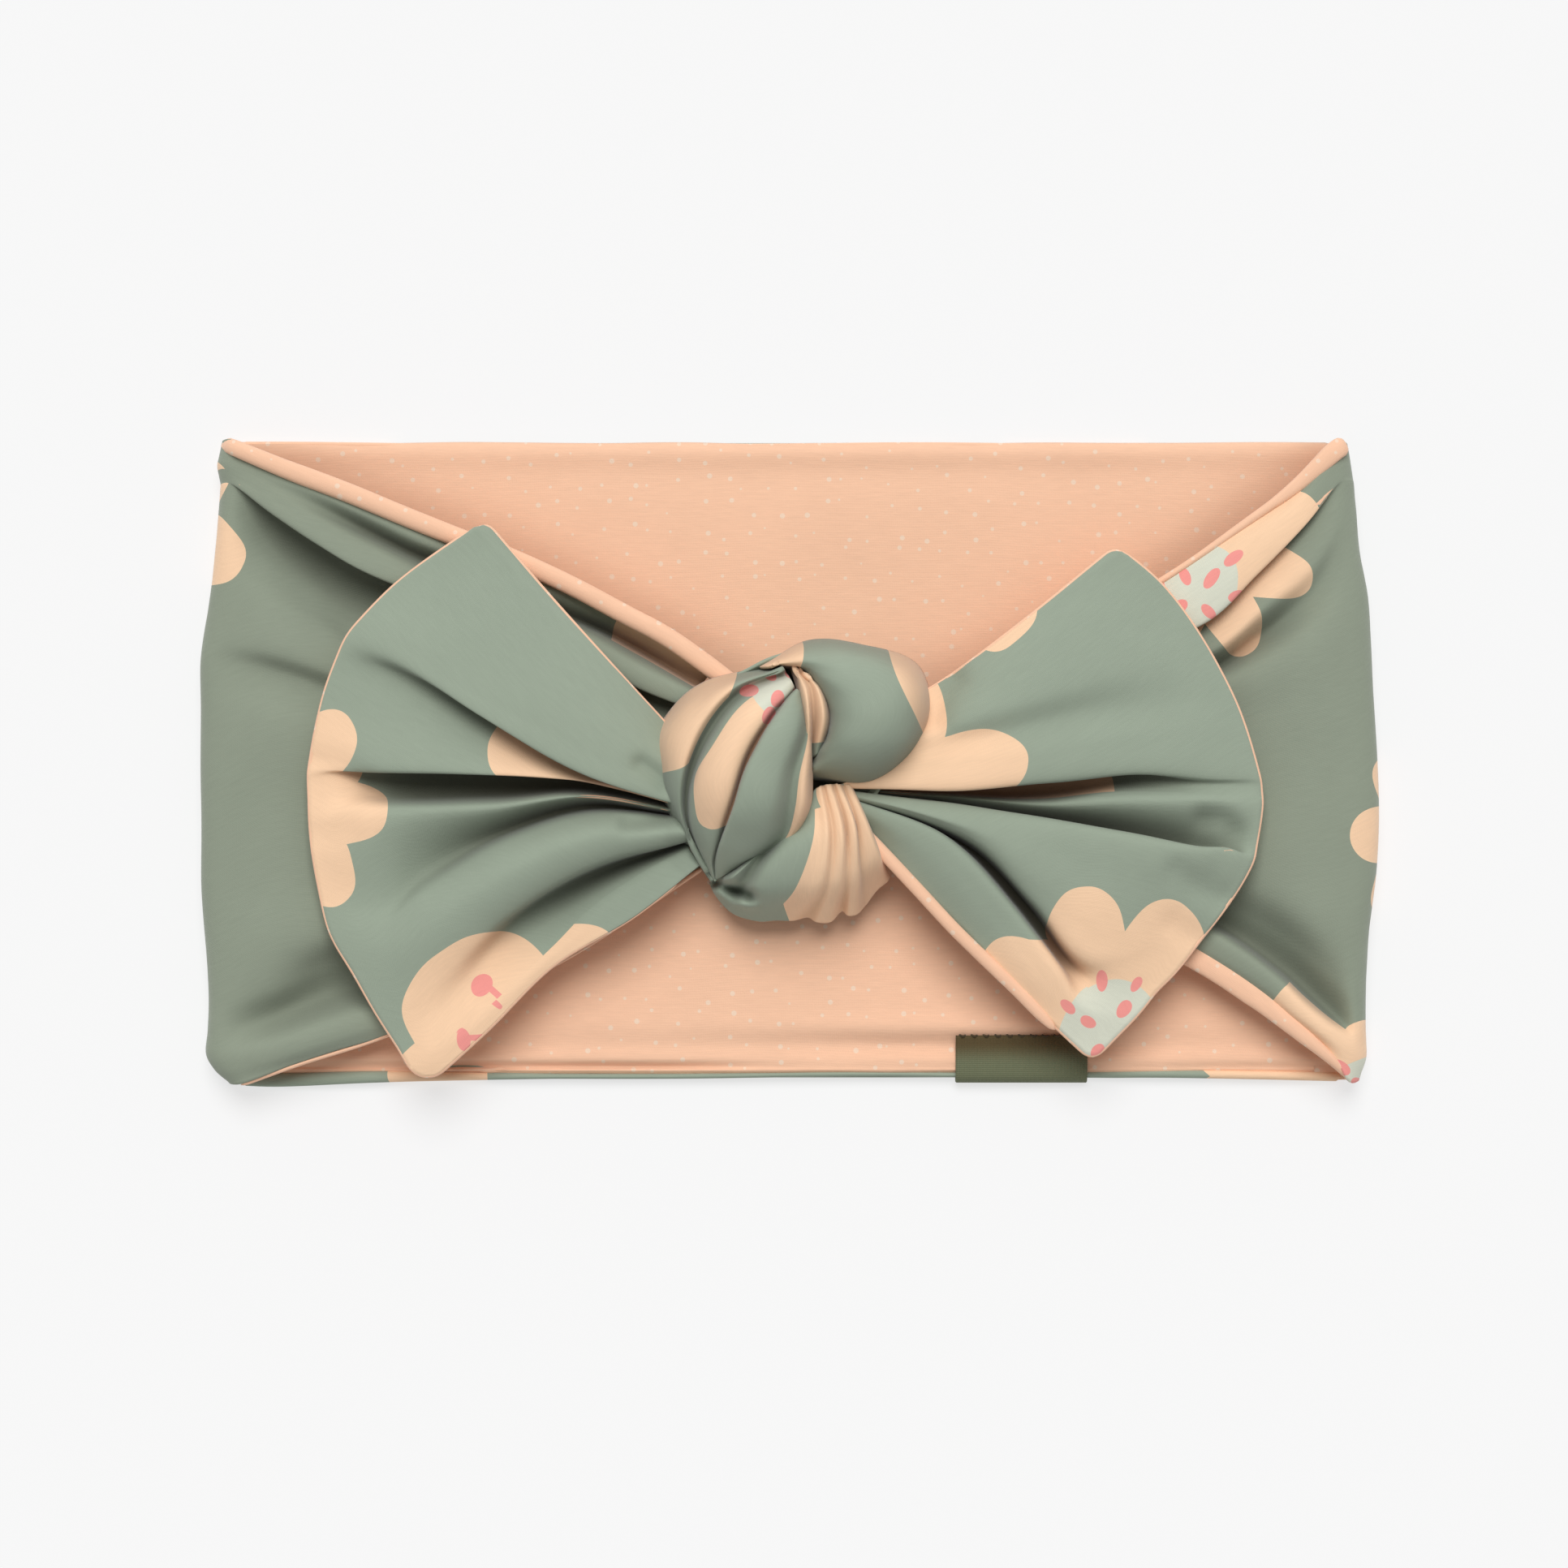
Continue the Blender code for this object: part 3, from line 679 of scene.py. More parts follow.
# The front halves, from the upper edge to the lower one. Each line starts with its y and its
# reach at the side fold, and goes on as points towards the knot.
FRONT_LEFT = (
    (54.6, 95.9, (
        (-86, 50.8, 8.4), (-67.6, 43.6, 8.4), (-48.3, 36, 8.6), (-29.1, 25.8, 9), (-13, 15.5, 11),
    )),
    (52, 96.4, (
        (-85, 47.8, 9.3), (-70.8, 41.2, 9.3), (-61, 36.6, 9.2), (-45, 30.4, 8.4), (-28, 22.6, 6.4),
        (-14, 14, 8),
    )),
    (50.4, 96.7, (
        (-84, 45.2, 9), (-70.8, 38.8, 6.2), (-61.5, 34.4, 5.4), (-45, 27.8, 5), (-32, 22.6, 3.6),
        (-25, 19, 3.6), (-15, 13, 7),
    )),
    (48.8, 96.4, (
        (-84, 43.2, 9.8), (-71, 36.4, 9.8), (-62, 31.8, 10), (-46, 26, 9.6), (-34, 21.2, 10),
        (-26.6, 16.8, 10.6), (-16, 11.6, 12.3),
    )),
    (47.3, 96.1, (
        (-87.5, 42.1, 9.6), (-79.6, 36.6, 10.6), (-71.6, 31.9, 10.8), (-50, 24, 10),
        (-33.6, 18.6, 10.3), (-26.6, 13, 10.6), (-17, 8.8, 12),
    )),
    (47, 96.1, (
        (-87.3, 43.2, 5.6), (-79.3, 38.6, 4.4), (-71.2, 33.8, 4.2), (-50, 25.4, 5),
        (-33, 19.6, 5.4), (-26, 14.4, 6), (-17, 9.4, 8.4),
    )),
    (44, 96.3, (
        (-88.5, 38.6, 4), (-80, 32.6, 2.6), (-71.6, 27.8, 2.4), (-50, 19, 3.6), (-31, 13, 4),
        (-17, 6.5, 8),
    )),
    (38, 96.9, ((-89.5, 33.4, 6.6), (-81, 27.8, 5), (-73, 21.6, 4.6), (-46, 11.5, 6), (-15, 4, 8.5))),
    (32, 97.6, ((-89, 27.6, 8.6), (-79, 21.6, 7.6), (-68, 15.5, 6.8), (-45, 7, 6.5), (-15, 2.4, 9))),
    (21, 99.2, ((-88.5, 19, 9.2), (-78, 15.4, 8.4), (-66, 10, 6.8), (-45, 4, 6.5), (-15, 1, 9))),
    (17, 99.7, ((-88, 15.4, 7.2), (-77, 11.6, 6.2), (-66, 7, 6.5), (-45, 2, 6.5), (-15, 0, 9))),
    (8, 99.6, ((-88, 7, 9.2), (-77, 5.6, 8.4), (-64, 2.5, 6.5), (-45, 0, 6.5), (-15, -2, 9))),
    (-8, 99.5, ((-88, -7, 9), (-77, -6.5, 8.2), (-64, -6, 6.5), (-45, -5, 6.5), (-15, -5, 9))),
    (-22, 99.6, ((-88, -21, 9.2), (-77, -19.5, 8.4), (-64, -17, 6.6), (-42, -11, 6.5), (-15, -8, 9))),
    (-34, 98.6, ((-88, -32, 9.4), (-77, -29.4, 8.8), (-64, -26, 7.4), (-40, -18, 7), (-15, -11, 9))),
    (-41, 98.2, (
        (-88, -38.6, 8), (-78, -34.6, 5.4), (-66, -31, 4.6), (-40, -21.5, 6.4), (-15, -12.4, 8.8),
    )),
    (-46, 98.3, (
        (-87.5, -43.2, 5), (-78, -39.4, 3.4), (-67, -36.4, 3.6), (-42, -26, 6), (-15, -13.8, 8.8),
    )),
    (-50, 98.5, ((-86, -47.2, 9), (-76, -43.6, 9), (-66, -41, 8.8), (-40, -31, 8.4), (-15, -15.5, 9.6))),
    (-52.6, 97, (
        (-85, -49.6, 9.2), (-76, -46.4, 9.4), (-68, -44, 9.2), (-40, -33, 8.8), (-14.5, -16.6, 9.6),
    )),
    (-54.8, 94.6, (
        (-84, -51.5, 7.8), (-76, -48.8, 8), (-69.7, -46.9, 8), (-40, -34.5, 8.2), (-14, -17.6, 9.4),
    )),
)
FRONT_RIGHT = (
    (54.2, 94.9, ((86.6, 46.4, 8.4), (77, 39.5, 9), (63, 30, 9.2), (42, 19, 9.4), (22, 10, 11.5))),
    (52, 95.3, ((86.4, 44, 9.8), (77, 36, 10.2), (65, 27.2, 10), (42, 17, 9.6), (22, 8.5, 11.5))),
    (49.5, 95.7, ((87.4, 41.4, 10.2), (77.6, 32, 10.6), (69, 24.8, 10.4), (42, 15, 9.6), (22, 7, 11.5))),
    (48, 95.9, ((88, 40.2, 9.8), (79, 31.3, 10.2), (70.4, 23.3, 10), (42, 13.5, 9.2), (22, 6, 11))),
    (47.6, 96, ((88.2, 41, 8), (79.2, 32.6, 7.8), (70.6, 24.6, 7), (42, 14, 6.5), (22, 6, 9.5))),
    (45, 96.2, ((88.6, 37, 8.6), (79.4, 28.2, 8.4), (70.8, 20.8, 7.6), (42, 11.5, 6.5), (22, 5, 9.5))),
    (42, 96.5, ((89, 33.2, 9), (80, 25.2, 8.8), (72, 18.6, 8), (42, 9, 6.8), (22, 4, 9.5))),
    (37, 96.8, ((89, 28.2, 7), (80, 21, 4.2), (71, 15, 3.8), (42, 7, 6.6), (22, 2.5, 9.5))),
    (28, 98.4, ((89, 21.8, 9.4), (81, 16.8, 8.8), (68, 11.5, 7), (42, 4, 6.6), (22, 1, 9.5))),
    (12, 99.4, ((89, 9.5, 9.3), (80, 7.5, 8.4), (66, 5, 6.6), (42, 1, 6.6), (22, -1, 9.5))),
    (-4, 100, ((89, -3.5, 9.1), (79, -3, 8.2), (66, -3, 6.6), (42, -3, 6.6), (22, -3, 9.5))),
    (-20, 99.8, ((89, -18.5, 9.3), (79, -15.5, 8.4), (64, -11.5, 6.6), (42, -7, 6.6), (22, -5, 9.5))),
    (-32, 98.3, ((91, -28.6, 9), (80, -22, 7.6), (64, -15.5, 6.4), (42, -9.5, 6.6), (22, -7, 9.5))),
    (-40, 97.9, ((92, -36, 6.4), (82, -28.5, 4.4), (68, -21.5, 4.4), (42, -12, 6), (22, -8.5, 9.2))),
    (-45.4, 97.9, (
        (92.6, -42.6, 3.8), (84.5, -35.4, 2.8), (72, -27, 3), (42, -14.6, 5.6), (22, -9.4, 9.2),
    )),
    (-47.8, 98, (
        (93.6, -46, 8.4), (87.4, -41.2, 9.6), (83, -36.9, 9.8), (72, -29.2, 9.6), (42, -16, 9),
        (22, -10, 10.8),
    )),
    (-50.6, 98, (
        (92, -47.2, 9.2), (86, -42.6, 9.8), (81.4, -38.4, 9.8), (70.5, -31.6, 9.4), (42, -18, 9),
        (22, -12, 10.5),
    )),
    (-54.4, 96.8, (
        (91.5, -48.8, 7.9), (85, -43.6, 8.2), (79.6, -39.4, 8.2), (70, -33.4, 8.2), (42, -20, 8.6),
        (22, -13.5, 9.6),
    )),
)

# The knot's wraps. The left one runs from the top to its lowest point.
WRAP_LEFT = (
    (
        (-1, 16, 11), (-14, 13.5, 13), (-22.2, 5, 12.5), (-21.6, -5, 11.5), (-17.6, -13.6, 10.5),
        (-13, -20.5, 10),
    ),
    (
        (-1, 15.8, 16), (-12.5, 11.8, 19.5), (-19.6, 3.8, 20), (-19.8, -4.5, 18.5),
        (-17.2, -12.4, 14.8), (-12.9, -20, 11.8),
    ),
    (
        (-0.8, 15.4, 18.4), (-9.5, 11.9, 22.2), (-14.6, 6, 23.2), (-17.6, -1.5, 22.6),
        (-18, -8, 19.4), (-16, -14.4, 15.2), (-12.8, -20, 12.2),
    ),
    (
        (-0.3, 14.8, 17), (-8.4, 11, 20.3), (-13.2, 5, 21), (-16.3, -2, 20.4), (-17.1, -8.4, 17.6),
        (-15.6, -14.4, 14), (-12.7, -20, 12),
    ),
    (
        (0.2, 14, 19), (-7, 9.9, 23.8), (-11.6, 4, 25), (-14.8, -3, 24), (-16, -9, 20.6),
        (-15, -14.5, 16), (-12.6, -20, 12.4),
    ),
    (
        (0.7, 13.2, 20), (-4.8, 8.6, 25.8), (-9.2, 1.6, 27.3), (-11.8, -5.6, 26),
        (-13.2, -11.5, 21.6), (-13.4, -16, 16.8), (-12.5, -20, 12.6),
    ),
    (
        (1, 12.5, 19.8), (-3.5, 7.6, 25.6), (-7.7, 0.4, 26.9), (-10, -6.7, 25.8),
        (-11.9, -12.5, 21), (-12.8, -16.6, 16.4), (-12.4, -20, 12.6),
    ),
    (
        (1.2, 12.1, 18.6), (-2.8, 7.1, 23.6), (-6.9, -0.2, 24.8), (-9.2, -7.2, 23.9),
        (-11.2, -12.8, 19.4), (-12.4, -16.8, 15.3), (-12.3, -20, 12.4),
    ),
    (
        (1.4, 12, 20), (-2.3, 6.9, 26.6), (-6.3, -0.4, 28.4), (-8.7, -7.4, 27.2), (-10.8, -13, 22),
        (-12.1, -17, 16.6), (-12.2, -19.9, 12.8),
    ),
    (
        (1.7, 11.8, 20.6), (-0.6, 6.5, 27.2), (-4.2, -0.8, 29), (-6.2, -7.6, 28), (-8, -13.4, 22.8),
        (-10.6, -17.6, 17), (-11.8, -19.8, 13),
    ),
    (
        (2.1, 11.5, 20), (1.6, 6, 26.2), (-1.2, -1.2, 28.2), (-2.8, -7.8, 27.2),
        (-4.6, -13.4, 22.4), (-8.6, -17.4, 17), (-10.8, -19.3, 13.6),
    ),
    (
        (2.2, 11.3, 18.2), (3, 5.2, 22.8), (1, -2, 24.4), (0.2, -7.8, 23.2), (-1.2, -13, 19),
        (-5.6, -16.4, 15.4), (-9, -18.3, 13),
    ),
    (
        (2.3, 11.1, 18.6), (3.5, 3.6, 22.8), (2.7, -3, 24.8), (2.1, -8.2, 23.8), (0, -13.2, 19.2),
        (-4.6, -16, 15.6), (-8, -17.5, 12.5),
    ),
    (
        (2.4, 10.9, 15), (3.9, 2, 17.5), (4.1, -4, 18), (3.6, -9.2, 17), (0.9, -14, 14),
        (-3.6, -16.5, 12.5), (-7, -17.2, 11),
    ),
)
# The right one runs from the top, round the outside and back to the middle.
WRAP_RIGHT = (
    (
        (-5, 15.9, 10), (3.2, 20.3, 10), (13, 19.8, 10), (21.8, 16.6, 10), (24.2, 9.8, 10),
        (22.2, 2.5, 10), (14.3, -3.8, 11), (3.5, -3.2, 12),
    ),
    (
        (-4.4, 16, 15), (3.2, 19.7, 16.5), (13, 19, 18), (20.9, 15.7, 18), (23.2, 9.6, 18),
        (21.3, 2.6, 17.5), (14, -3.2, 17), (3.8, -2.8, 15.5),
    ),
    (
        (-3.2, 16, 17.3), (3.3, 18, 20.5), (12, 17, 23.5), (18.6, 13.8, 24.5), (20.6, 8.9, 24.5),
        (18.9, 2.8, 23.6), (13, -1.6, 21.2), (4, -2, 18),
    ),
    (
        (-2, 16, 17.8), (3.5, 16.6, 22), (10, 14.6, 25.6), (14.6, 11.6, 27), (16.3, 7.9, 27.4),
        (15, 3.4, 26.6), (11, 0, 23.8), (4.2, -1.5, 19),
    ),
    (
        (-1.4, 15.9, 17), (3.6, 15.4, 21.6), (7.6, 13, 25.4), (10.6, 10, 27), (11.6, 7, 27.4),
        (10.6, 3.6, 26.4), (7.9, 1, 23.6), (4.2, -1.2, 19),
    ),
    (
        (-1, 15.8, 15), (2.5, 15.3, 19), (5.4, 12.6, 22.4), (7.3, 9.5, 24), (8, 6.8, 24.4),
        (7.5, 3.8, 23.8), (5.8, 1.5, 21.4), (3.8, -0.8, 17),
    ),
    (
        (-0.5, 15.6, 12), (2.2, 14.7, 15), (4.6, 12, 17), (6.2, 9.3, 18), (6.7, 6.8, 18.5),
        (6.3, 4, 18), (5, 2, 17), (3.5, -0.4, 14),
    ),
)
# Two small folds show inside the right wrap's loop.
WRAP_INNER = (
    ((0.2, 15.6, 14), (1.6, 10.5, 18), (2, 5.5, 19), (2.4, 0, 16)),
    ((1, 15.8, 18), (2.9, 11.6, 23), (3.4, 7, 24), (3.2, 0.5, 20)),
    ((1.5, 15.8, 17.3), (3.8, 12, 21.3), (4.2, 8, 21.8), (3.9, 0.6, 18.3)),
    ((2, 15.5, 18), (4.9, 12, 22.6), (5.9, 7.5, 23.4), (4.8, 1.2, 19.5)),
    ((2.6, 15, 16), (6, 12, 18.4), (7.4, 7.5, 18.6), (5.7, 1.4, 15)),
)
# The lower wrap fans out from under the others. Each line runs from the middle to its rim.
WRAP_LOWER = (
    ((10.7, -3.9, 12.5), (13.4, -9.6, 14), (15.4, -14.6, 13), (17.4, -19.6, 8)),
    ((10.3, -3.9, 16), (12.8, -9.8, 18.8), (14.9, -15.2, 17.2), (17, -20.4, 8.5)),
    ((9.7, -3.9, 16), (12, -10, 18.8), (13.6, -16.5, 17), (15, -22, 8.5)),
    ((9.2, -3.9, 15.6), (11.3, -10.2, 18.4), (12.2, -17.5, 16.7), (13, -24.6, 7.3)),
    ((8.6, -3.9, 16.6), (10.9, -10.4, 20.4), (11.6, -18, 18.2), (11.6, -26, 8.5)),
    ((8.1, -3.9, 16.6), (10.3, -10.7, 20.2), (10.7, -18.5, 18), (10.2, -26.2, 8.5)),
    ((7.6, -3.9, 16), (9.6, -11, 19.5), (9.9, -18.8, 17.6), (9.2, -25.5, 7.3)),
    ((7, -3.9, 16.8), (8.9, -11.2, 21.2), (8.9, -19, 19), (7.2, -27.3, 8.5)),
    ((6.4, -4, 16.8), (8.2, -11.5, 21), (7.8, -19.5, 18.8), (4.8, -27.4, 8.5)),
    ((5.9, -4.1, 16.1), (7.4, -11.8, 20.4), (6.8, -19.8, 18.3), (3.4, -26.7, 7.3)),
    ((5.3, -4.3, 16.8), (6.5, -12, 21.6), (5.6, -20, 19.4), (1, -27.1, 8.5)),
    ((4.7, -4.6, 16.6), (5.2, -12.4, 21.2), (3.4, -20.4, 19), (-2, -27, 8.5)),
    ((4.2, -5.2, 16.6), (3, -13.2, 21.4), (-0.4, -20.8, 19.2), (-5, -27.2, 8.5)),
    ((2.4, -8.5, 16.4), (-2, -15.4, 20.2), (-5.6, -21.2, 17.8), (-9, -26, 8.5)),
    ((0, -11, 14), (-5.8, -17.6, 16.4), (-8.6, -22.2, 12.6), (-11, -24.4, 8)),
    ((-2, -12, 14), (-8, -18.3, 17.6), (-10.6, -20.6, 15.8), (-12.6, -22.2, 8.5)),
    ((-4, -13, 12), (-9.5, -18.3, 13.5), (-12, -20, 12.5), (-13.3, -20.7, 8.5)),
)

NO_PETALS = 0.00001  # a width that can't be seen, for stamens with petals of their own
FLOWERS = {
    "ear_left": (
        flower(-89, -7, 20, -3, zone=1),
        flower(-88, -8, 20.5, -3, zone=2),
        flower(-29, 2, 21.5, 180, 7, zone=1),
        flower(-45, -52, 23.8, 121, 4, zone=2, width=0.56),
        flower(-45, -52, 23.8, 121, 4, zone=3, width=0.56),
        *(
            flower(-44, -44.5, 17.8, turn, 2, zone=zone, width=NO_PETALS, core=0, stamens=2)
            for zone in (2, 3)
            for turn in (142, 190)
        ),
        flower(-35, -46, 19, 96, 5, zone=3, width=0.5),
    ),
    "ear_right": (
        flower(31, 29.5, 12.6, -53, 5, width=0.5),
        flower(14, 9, 12.4, 0, core=1),
        flower(18.4, -0.8, 22.3, 2, 3, width=0.27),
        flower(30, -4, 24.5, 0, 5, zone=1, width=0.3),
        flower(54.4, -45.6, 25, 58, zone=2, width=0.26, core=0.5, disc=0.34),
        flower(54.4, -45.6, 25, 58, zone=3, width=0.26, core=0.5, disc=0.34),
        flower(42, -52, 22, 92, 5, zone=3, width=0.5),
    ),
    "front_left": (
        flower(-112, 48, 19, -8, 7),
        flower(-113, 40.6, 21.5, -20, 7, zone=2),
        flower(-12, 8, 24, 128, 7),
    ),
    "front_right": (
        flower(69.5, 29, 25, 38, width=0.27, disc=0.29),
        flower(70, 35, 19, -12, 7, zone=1, width=0.27),
        flower(113.5, -13, 18, 180, zone=1),
        flower(99, -56, 12, 100, 7, zone=1),
        flower(99.6, -57, 24.5, 134, 7, zone=2, disc=0.3),
    ),
    "wrap_left": (
        flower(-25, 13, 16, -35, 9, width=0.45),
        flower(-0.4, 13, 27.5, 241, 3, zone=1, width=0.2, core=0.2, disc=0.24),
        flower(8, 3, 20, 240, 7, zone=3),
    ),
    "wrap_right": (flower(-16, 17.5, 19, 2, 7), flower(52, 25, 36, 203, 5, width=0.5)),
    "wrap_inner": (flower(4, 23, 20, 268, 6),),
    "wrap_lower": (flower(27, -18, 28.5, 200, 4, width=0.58),),
    "hem": (flower(-60.5, -54, 8.5, 0, 9, width=0.4), flower(86, -54, 18, 0, 9)),
    "back": (
        flower(-113, 40.6, 21.5, -20, 7),
        flower(-150, -22, 21, 40, disc=0.38),
        flower(-196, 26, 21, 10, disc=0.3, stamens=1),
        flower(-240, -24, 20, 100, 7, disc=0.4),
        flower(-252, 44, 18, 60, disc=0.35),
        flower(113.5 - LOOP, -13, 18, 180),
        flower(99 - LOOP, -56, 19, 140, 7, disc=0.45),
    ),
}


# ---------------------------------------------------------------- the band

UNDER_Z = 0.4  # the height of the shell's underside
JOIN_X = 90.0  # where the back's shell goes on as the front's, on the underside
FOLD_RISE = 3.7  # how much longer the way round a side fold is than its reach
UNDER_LAYER = 0.6  # from the shell's face to the lining's
BACK_LINES = 9  # fold lines in the flat back shell
LONG_EDGE, FRONT_EDGE, SHORT_EDGE = 160, 140, 90  # points along a rolled edge
HEM_HEIGHT = 1.7
TOP_SIZE = (1.0, 1.2)
STRAP_SHADE = 6.5  # how far the painted shadow of the straps reaches over the lining
STRAP_DARK = 0.42  # and how dark that painted shadow is
SHORE = 40  # points along an edge when the distance from it is measured
HEM_Y = -54.0
TOP_Y = 54.4
LINED = dotted("lining_cloth")


def declare(nodes):
    """Hides the CAD nodes that a cloth piece stands in for."""
    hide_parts(*nodes)


def painted(piece, material):
    """Gives a piece its material."""
    piece.data.materials.append(material)
    return piece


def reach_at(table, y):
    """How far out the side fold lies at y."""
    rows = sorted((row[0], row[1]) for row in table)
    return np.interp(y, [r[0] for r in rows], [r[1] for r in rows])


def gaps_from(grid, path):
    """How far each point of a sheet lies from a path, seen from above."""
    return np.linalg.norm(grid[:, :, None, :2] - path[:, :2], axis=3).min(axis=2)


def add_back():
    """The back's two layers, flat on the surface below, and its two hems."""
    shell_lines = [
        [(-JOIN_X, y, UNDER_Z + CLOTH), (0, y, UNDER_Z + CLOTH), (JOIN_X, y, UNDER_Z + CLOTH)]
        for y in np.linspace(TOP_Y, HEM_Y, BACK_LINES)
    ]
    grid = ripple(loft(shell_lines), height=0.1, size=14, seed=1)
    places = print_places(grid)
    y = grid[..., 1]
    left = -2 * reach_at(FRONT_LEFT, y) - FOLD_RISE
    right = 2 * reach_at(FRONT_RIGHT, y) + FOLD_RISE - LOOP
    share = (grid[..., 0] + JOIN_X) / (2 * JOIN_X)
    places[..., 0] = left + (right - left) * share - grid[..., 0]
    shell = painted(cloth("back_shell", grid, places), printed("back_print", FLOWERS["back"]))

    lining_lines = [[(x, y, z) for x, z in ends] for y, ends in LINING_BACK]
    grid = ripple(loft(lining_lines), height=0.35, size=16, seed=2)
    # Painted shadow: the lining is darkened along the straps' upper edges.
    edges = [even_curve(BORDERS[word][0][1], SHORE) for word in ("left", "right")]
    gaps = np.stack([gaps_from(grid, edge) for edge in edges]).min(axis=0)
    strap_shadow = STRAP_DARK * np.exp(-((gaps / STRAP_SHADE) ** 2))
    lining = painted(cloth("back_lining", grid, print_places(grid), shade=strap_shadow), LINED)

    hem = roll("hem_bottom", even_curve(HEM, LONG_EDGE), HEM_WIDTH, HEM_HEIGHT)
    painted(hem, printed("hem_print", FLOWERS["hem"]))
    top = painted(roll("hem_top", even_curve(TOP_EDGE, LONG_EDGE), *TOP_SIZE), LINED)
    for piece in (shell, lining, hem, top):
        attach(piece, "band")
    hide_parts("seam_band_bottom")
    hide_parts("seam_band_top")
    declare(["shell_back"])
    declare(["lining_back"])


# The back's lining, from the top edge down: y, and heights along x.
LINING_BACK = (
    (54.6, ((-93, 0.9), (0, 0.9), (92, 0.9))),
    (54.2, ((-94, 1.6), (0, 1.6), (93, 1.6))),
    (52.8, ((-95, 2), (0, 2.2), (94, 2))),
    (49.5, ((-96, 1.8), (-30, 1.9), (40, 1.8), (95, 1.8))),
    (44, ((-96, 1.7), (0, 2.1), (95, 1.7))),
    (30, ((-97, 1.7), (0, 2), (97, 1.7))),
    (10, ((-98, 1.7), (0, 1.8), (98, 1.7))),
    (-10, ((-98, 1.7), (0, 1.8), (98, 1.7))),
    (-30, ((-97, 1.7), (0, 2), (97, 1.7))),
    (-42, ((-96, 1.7), (-10, 2), (30, 2.4), (60, 2.2), (95, 1.7))),
    (-45.5, ((-96, 1.7), (-10, 2.1), (30, 3), (60, 2.2), (95, 1.7))),
    (-48.5, ((-96, 1.7), (-10, 1.6), (30, 1.5), (60, 1.7), (95, 1.7))),
    (-51, ((-95, 1.9), (-10, 2), (30, 2.3), (60, 2.2), (94, 1.9))),
    (-52.3, ((-94, 1.3), (-50, 1.1), (-20, 1.1), (0, 2), (30, 2.2), (60, 1.9), (93, 1.4))),
    (-52.8, ((-94, 1.3), (-50, 1.7), (-20, 1.8), (0, 2.1), (30, 2.2), (60, 1.8), (93, 1.4))),
    (-53.5, ((-94, 0.9), (-50, 1.2), (-10, 1.3), (30, 1.3), (93, 0.9))),
)
HEM = (
    (-94, -54.2, 1.1), (-88, -54.5, 1.2), (-70, -54, 1.2), (-50, -53.9, 1.2), (-20, -53.9, 1.2),
    (15, -53.5, 1.2), (40, -53.8, 1.2), (62, -53.5, 1.2), (80, -53.7, 1.2), (95, -54, 1.2),
)
HEM_WIDTH = ((-94, 2.6), (-70, 2), (-55, 1.4), (-40, 0.9), (48, 0.9), (56, 1.3), (95, 1.6))
TOP_EDGE = (
    (-94, 54.3, 1), (-85, 54.3, 1), (-50, 53.9, 1), (0, 54, 1), (22, 54.2, 1), (60, 53.8, 1),
    (92, 53.8, 1),
)
SIDE_FOLD = ((1.5, 0.8), (0, 4), (2, 7.3))  # a side fold's section: how far in it lies, and z
OUTWARD = 0.6  # how much further out a side fold's cloth reaches than its middle


def front_grid(table, side):
    """A front half's cloth, from the underside round its side fold to the knot."""
    lines = []
    for y, reach, points in table:
        edge = side * (reach + OUTWARD)
        fold = [(edge - inward * side, y, z) for inward, z in SIDE_FOLD]
        lines.append(((side * JOIN_X, y, UNDER_Z), *fold, *points))
    return loft(lines)


def unrolled(places, grid, side):
    """Lays the print on round the side fold, where the cloth turns under."""
    steps = np.linalg.norm(np.diff(grid, axis=1), axis=2)
    for row in range(len(grid)):
        edge = int(np.argmax(side * grid[row, :, 0]))
        beyond = steps[row, :edge][::-1].cumsum()[::-1]
        places[row, :edge, 0] = grid[row, edge, 0] + side * beyond
    return places


def add_front(word, table, side, zones, borders):
    """A front half: its shell, its lining and its edges."""
    grid = ripple(front_grid(table, side), height=0.3, size=18, seed=3 + side)
    # The front halves' sage is painted darker, as shade.
    print_material = printed(f"front_{word}_print", FLOWERS[f"front_{word}"], SHADED_SAGE)
    split, starts = split_rows(grid, zones)
    places = unrolled(print_places(split, starts), split, side)
    shell = painted(cloth(f"front_{word}_shell", split, places), print_material)
    inside = (grid - facing_up(grid) * UNDER_LAYER)[::2, ::2]
    lining = painted(cloth(f"front_{word}_lining", inside, print_places(inside)), LINED)
    edges = []
    for where, path, width, height in borders:
        path = even_curve(path, FRONT_EDGE)
        edge = roll(f"front_{word}_{where}_edge", path, width, height, taper=0.02)
        edges.append(painted(edge, LINED))
        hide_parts(f"seam_front_{word}_{where}")
    for piece in (shell, lining, *edges):
        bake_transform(piece)
    nodes = [f"shell_front_{word}", f"shell_fold_{word}"]
    declare(nodes)
    nodes = [f"lining_front_{word}", f"lining_fold_{word}"]
    declare(nodes)


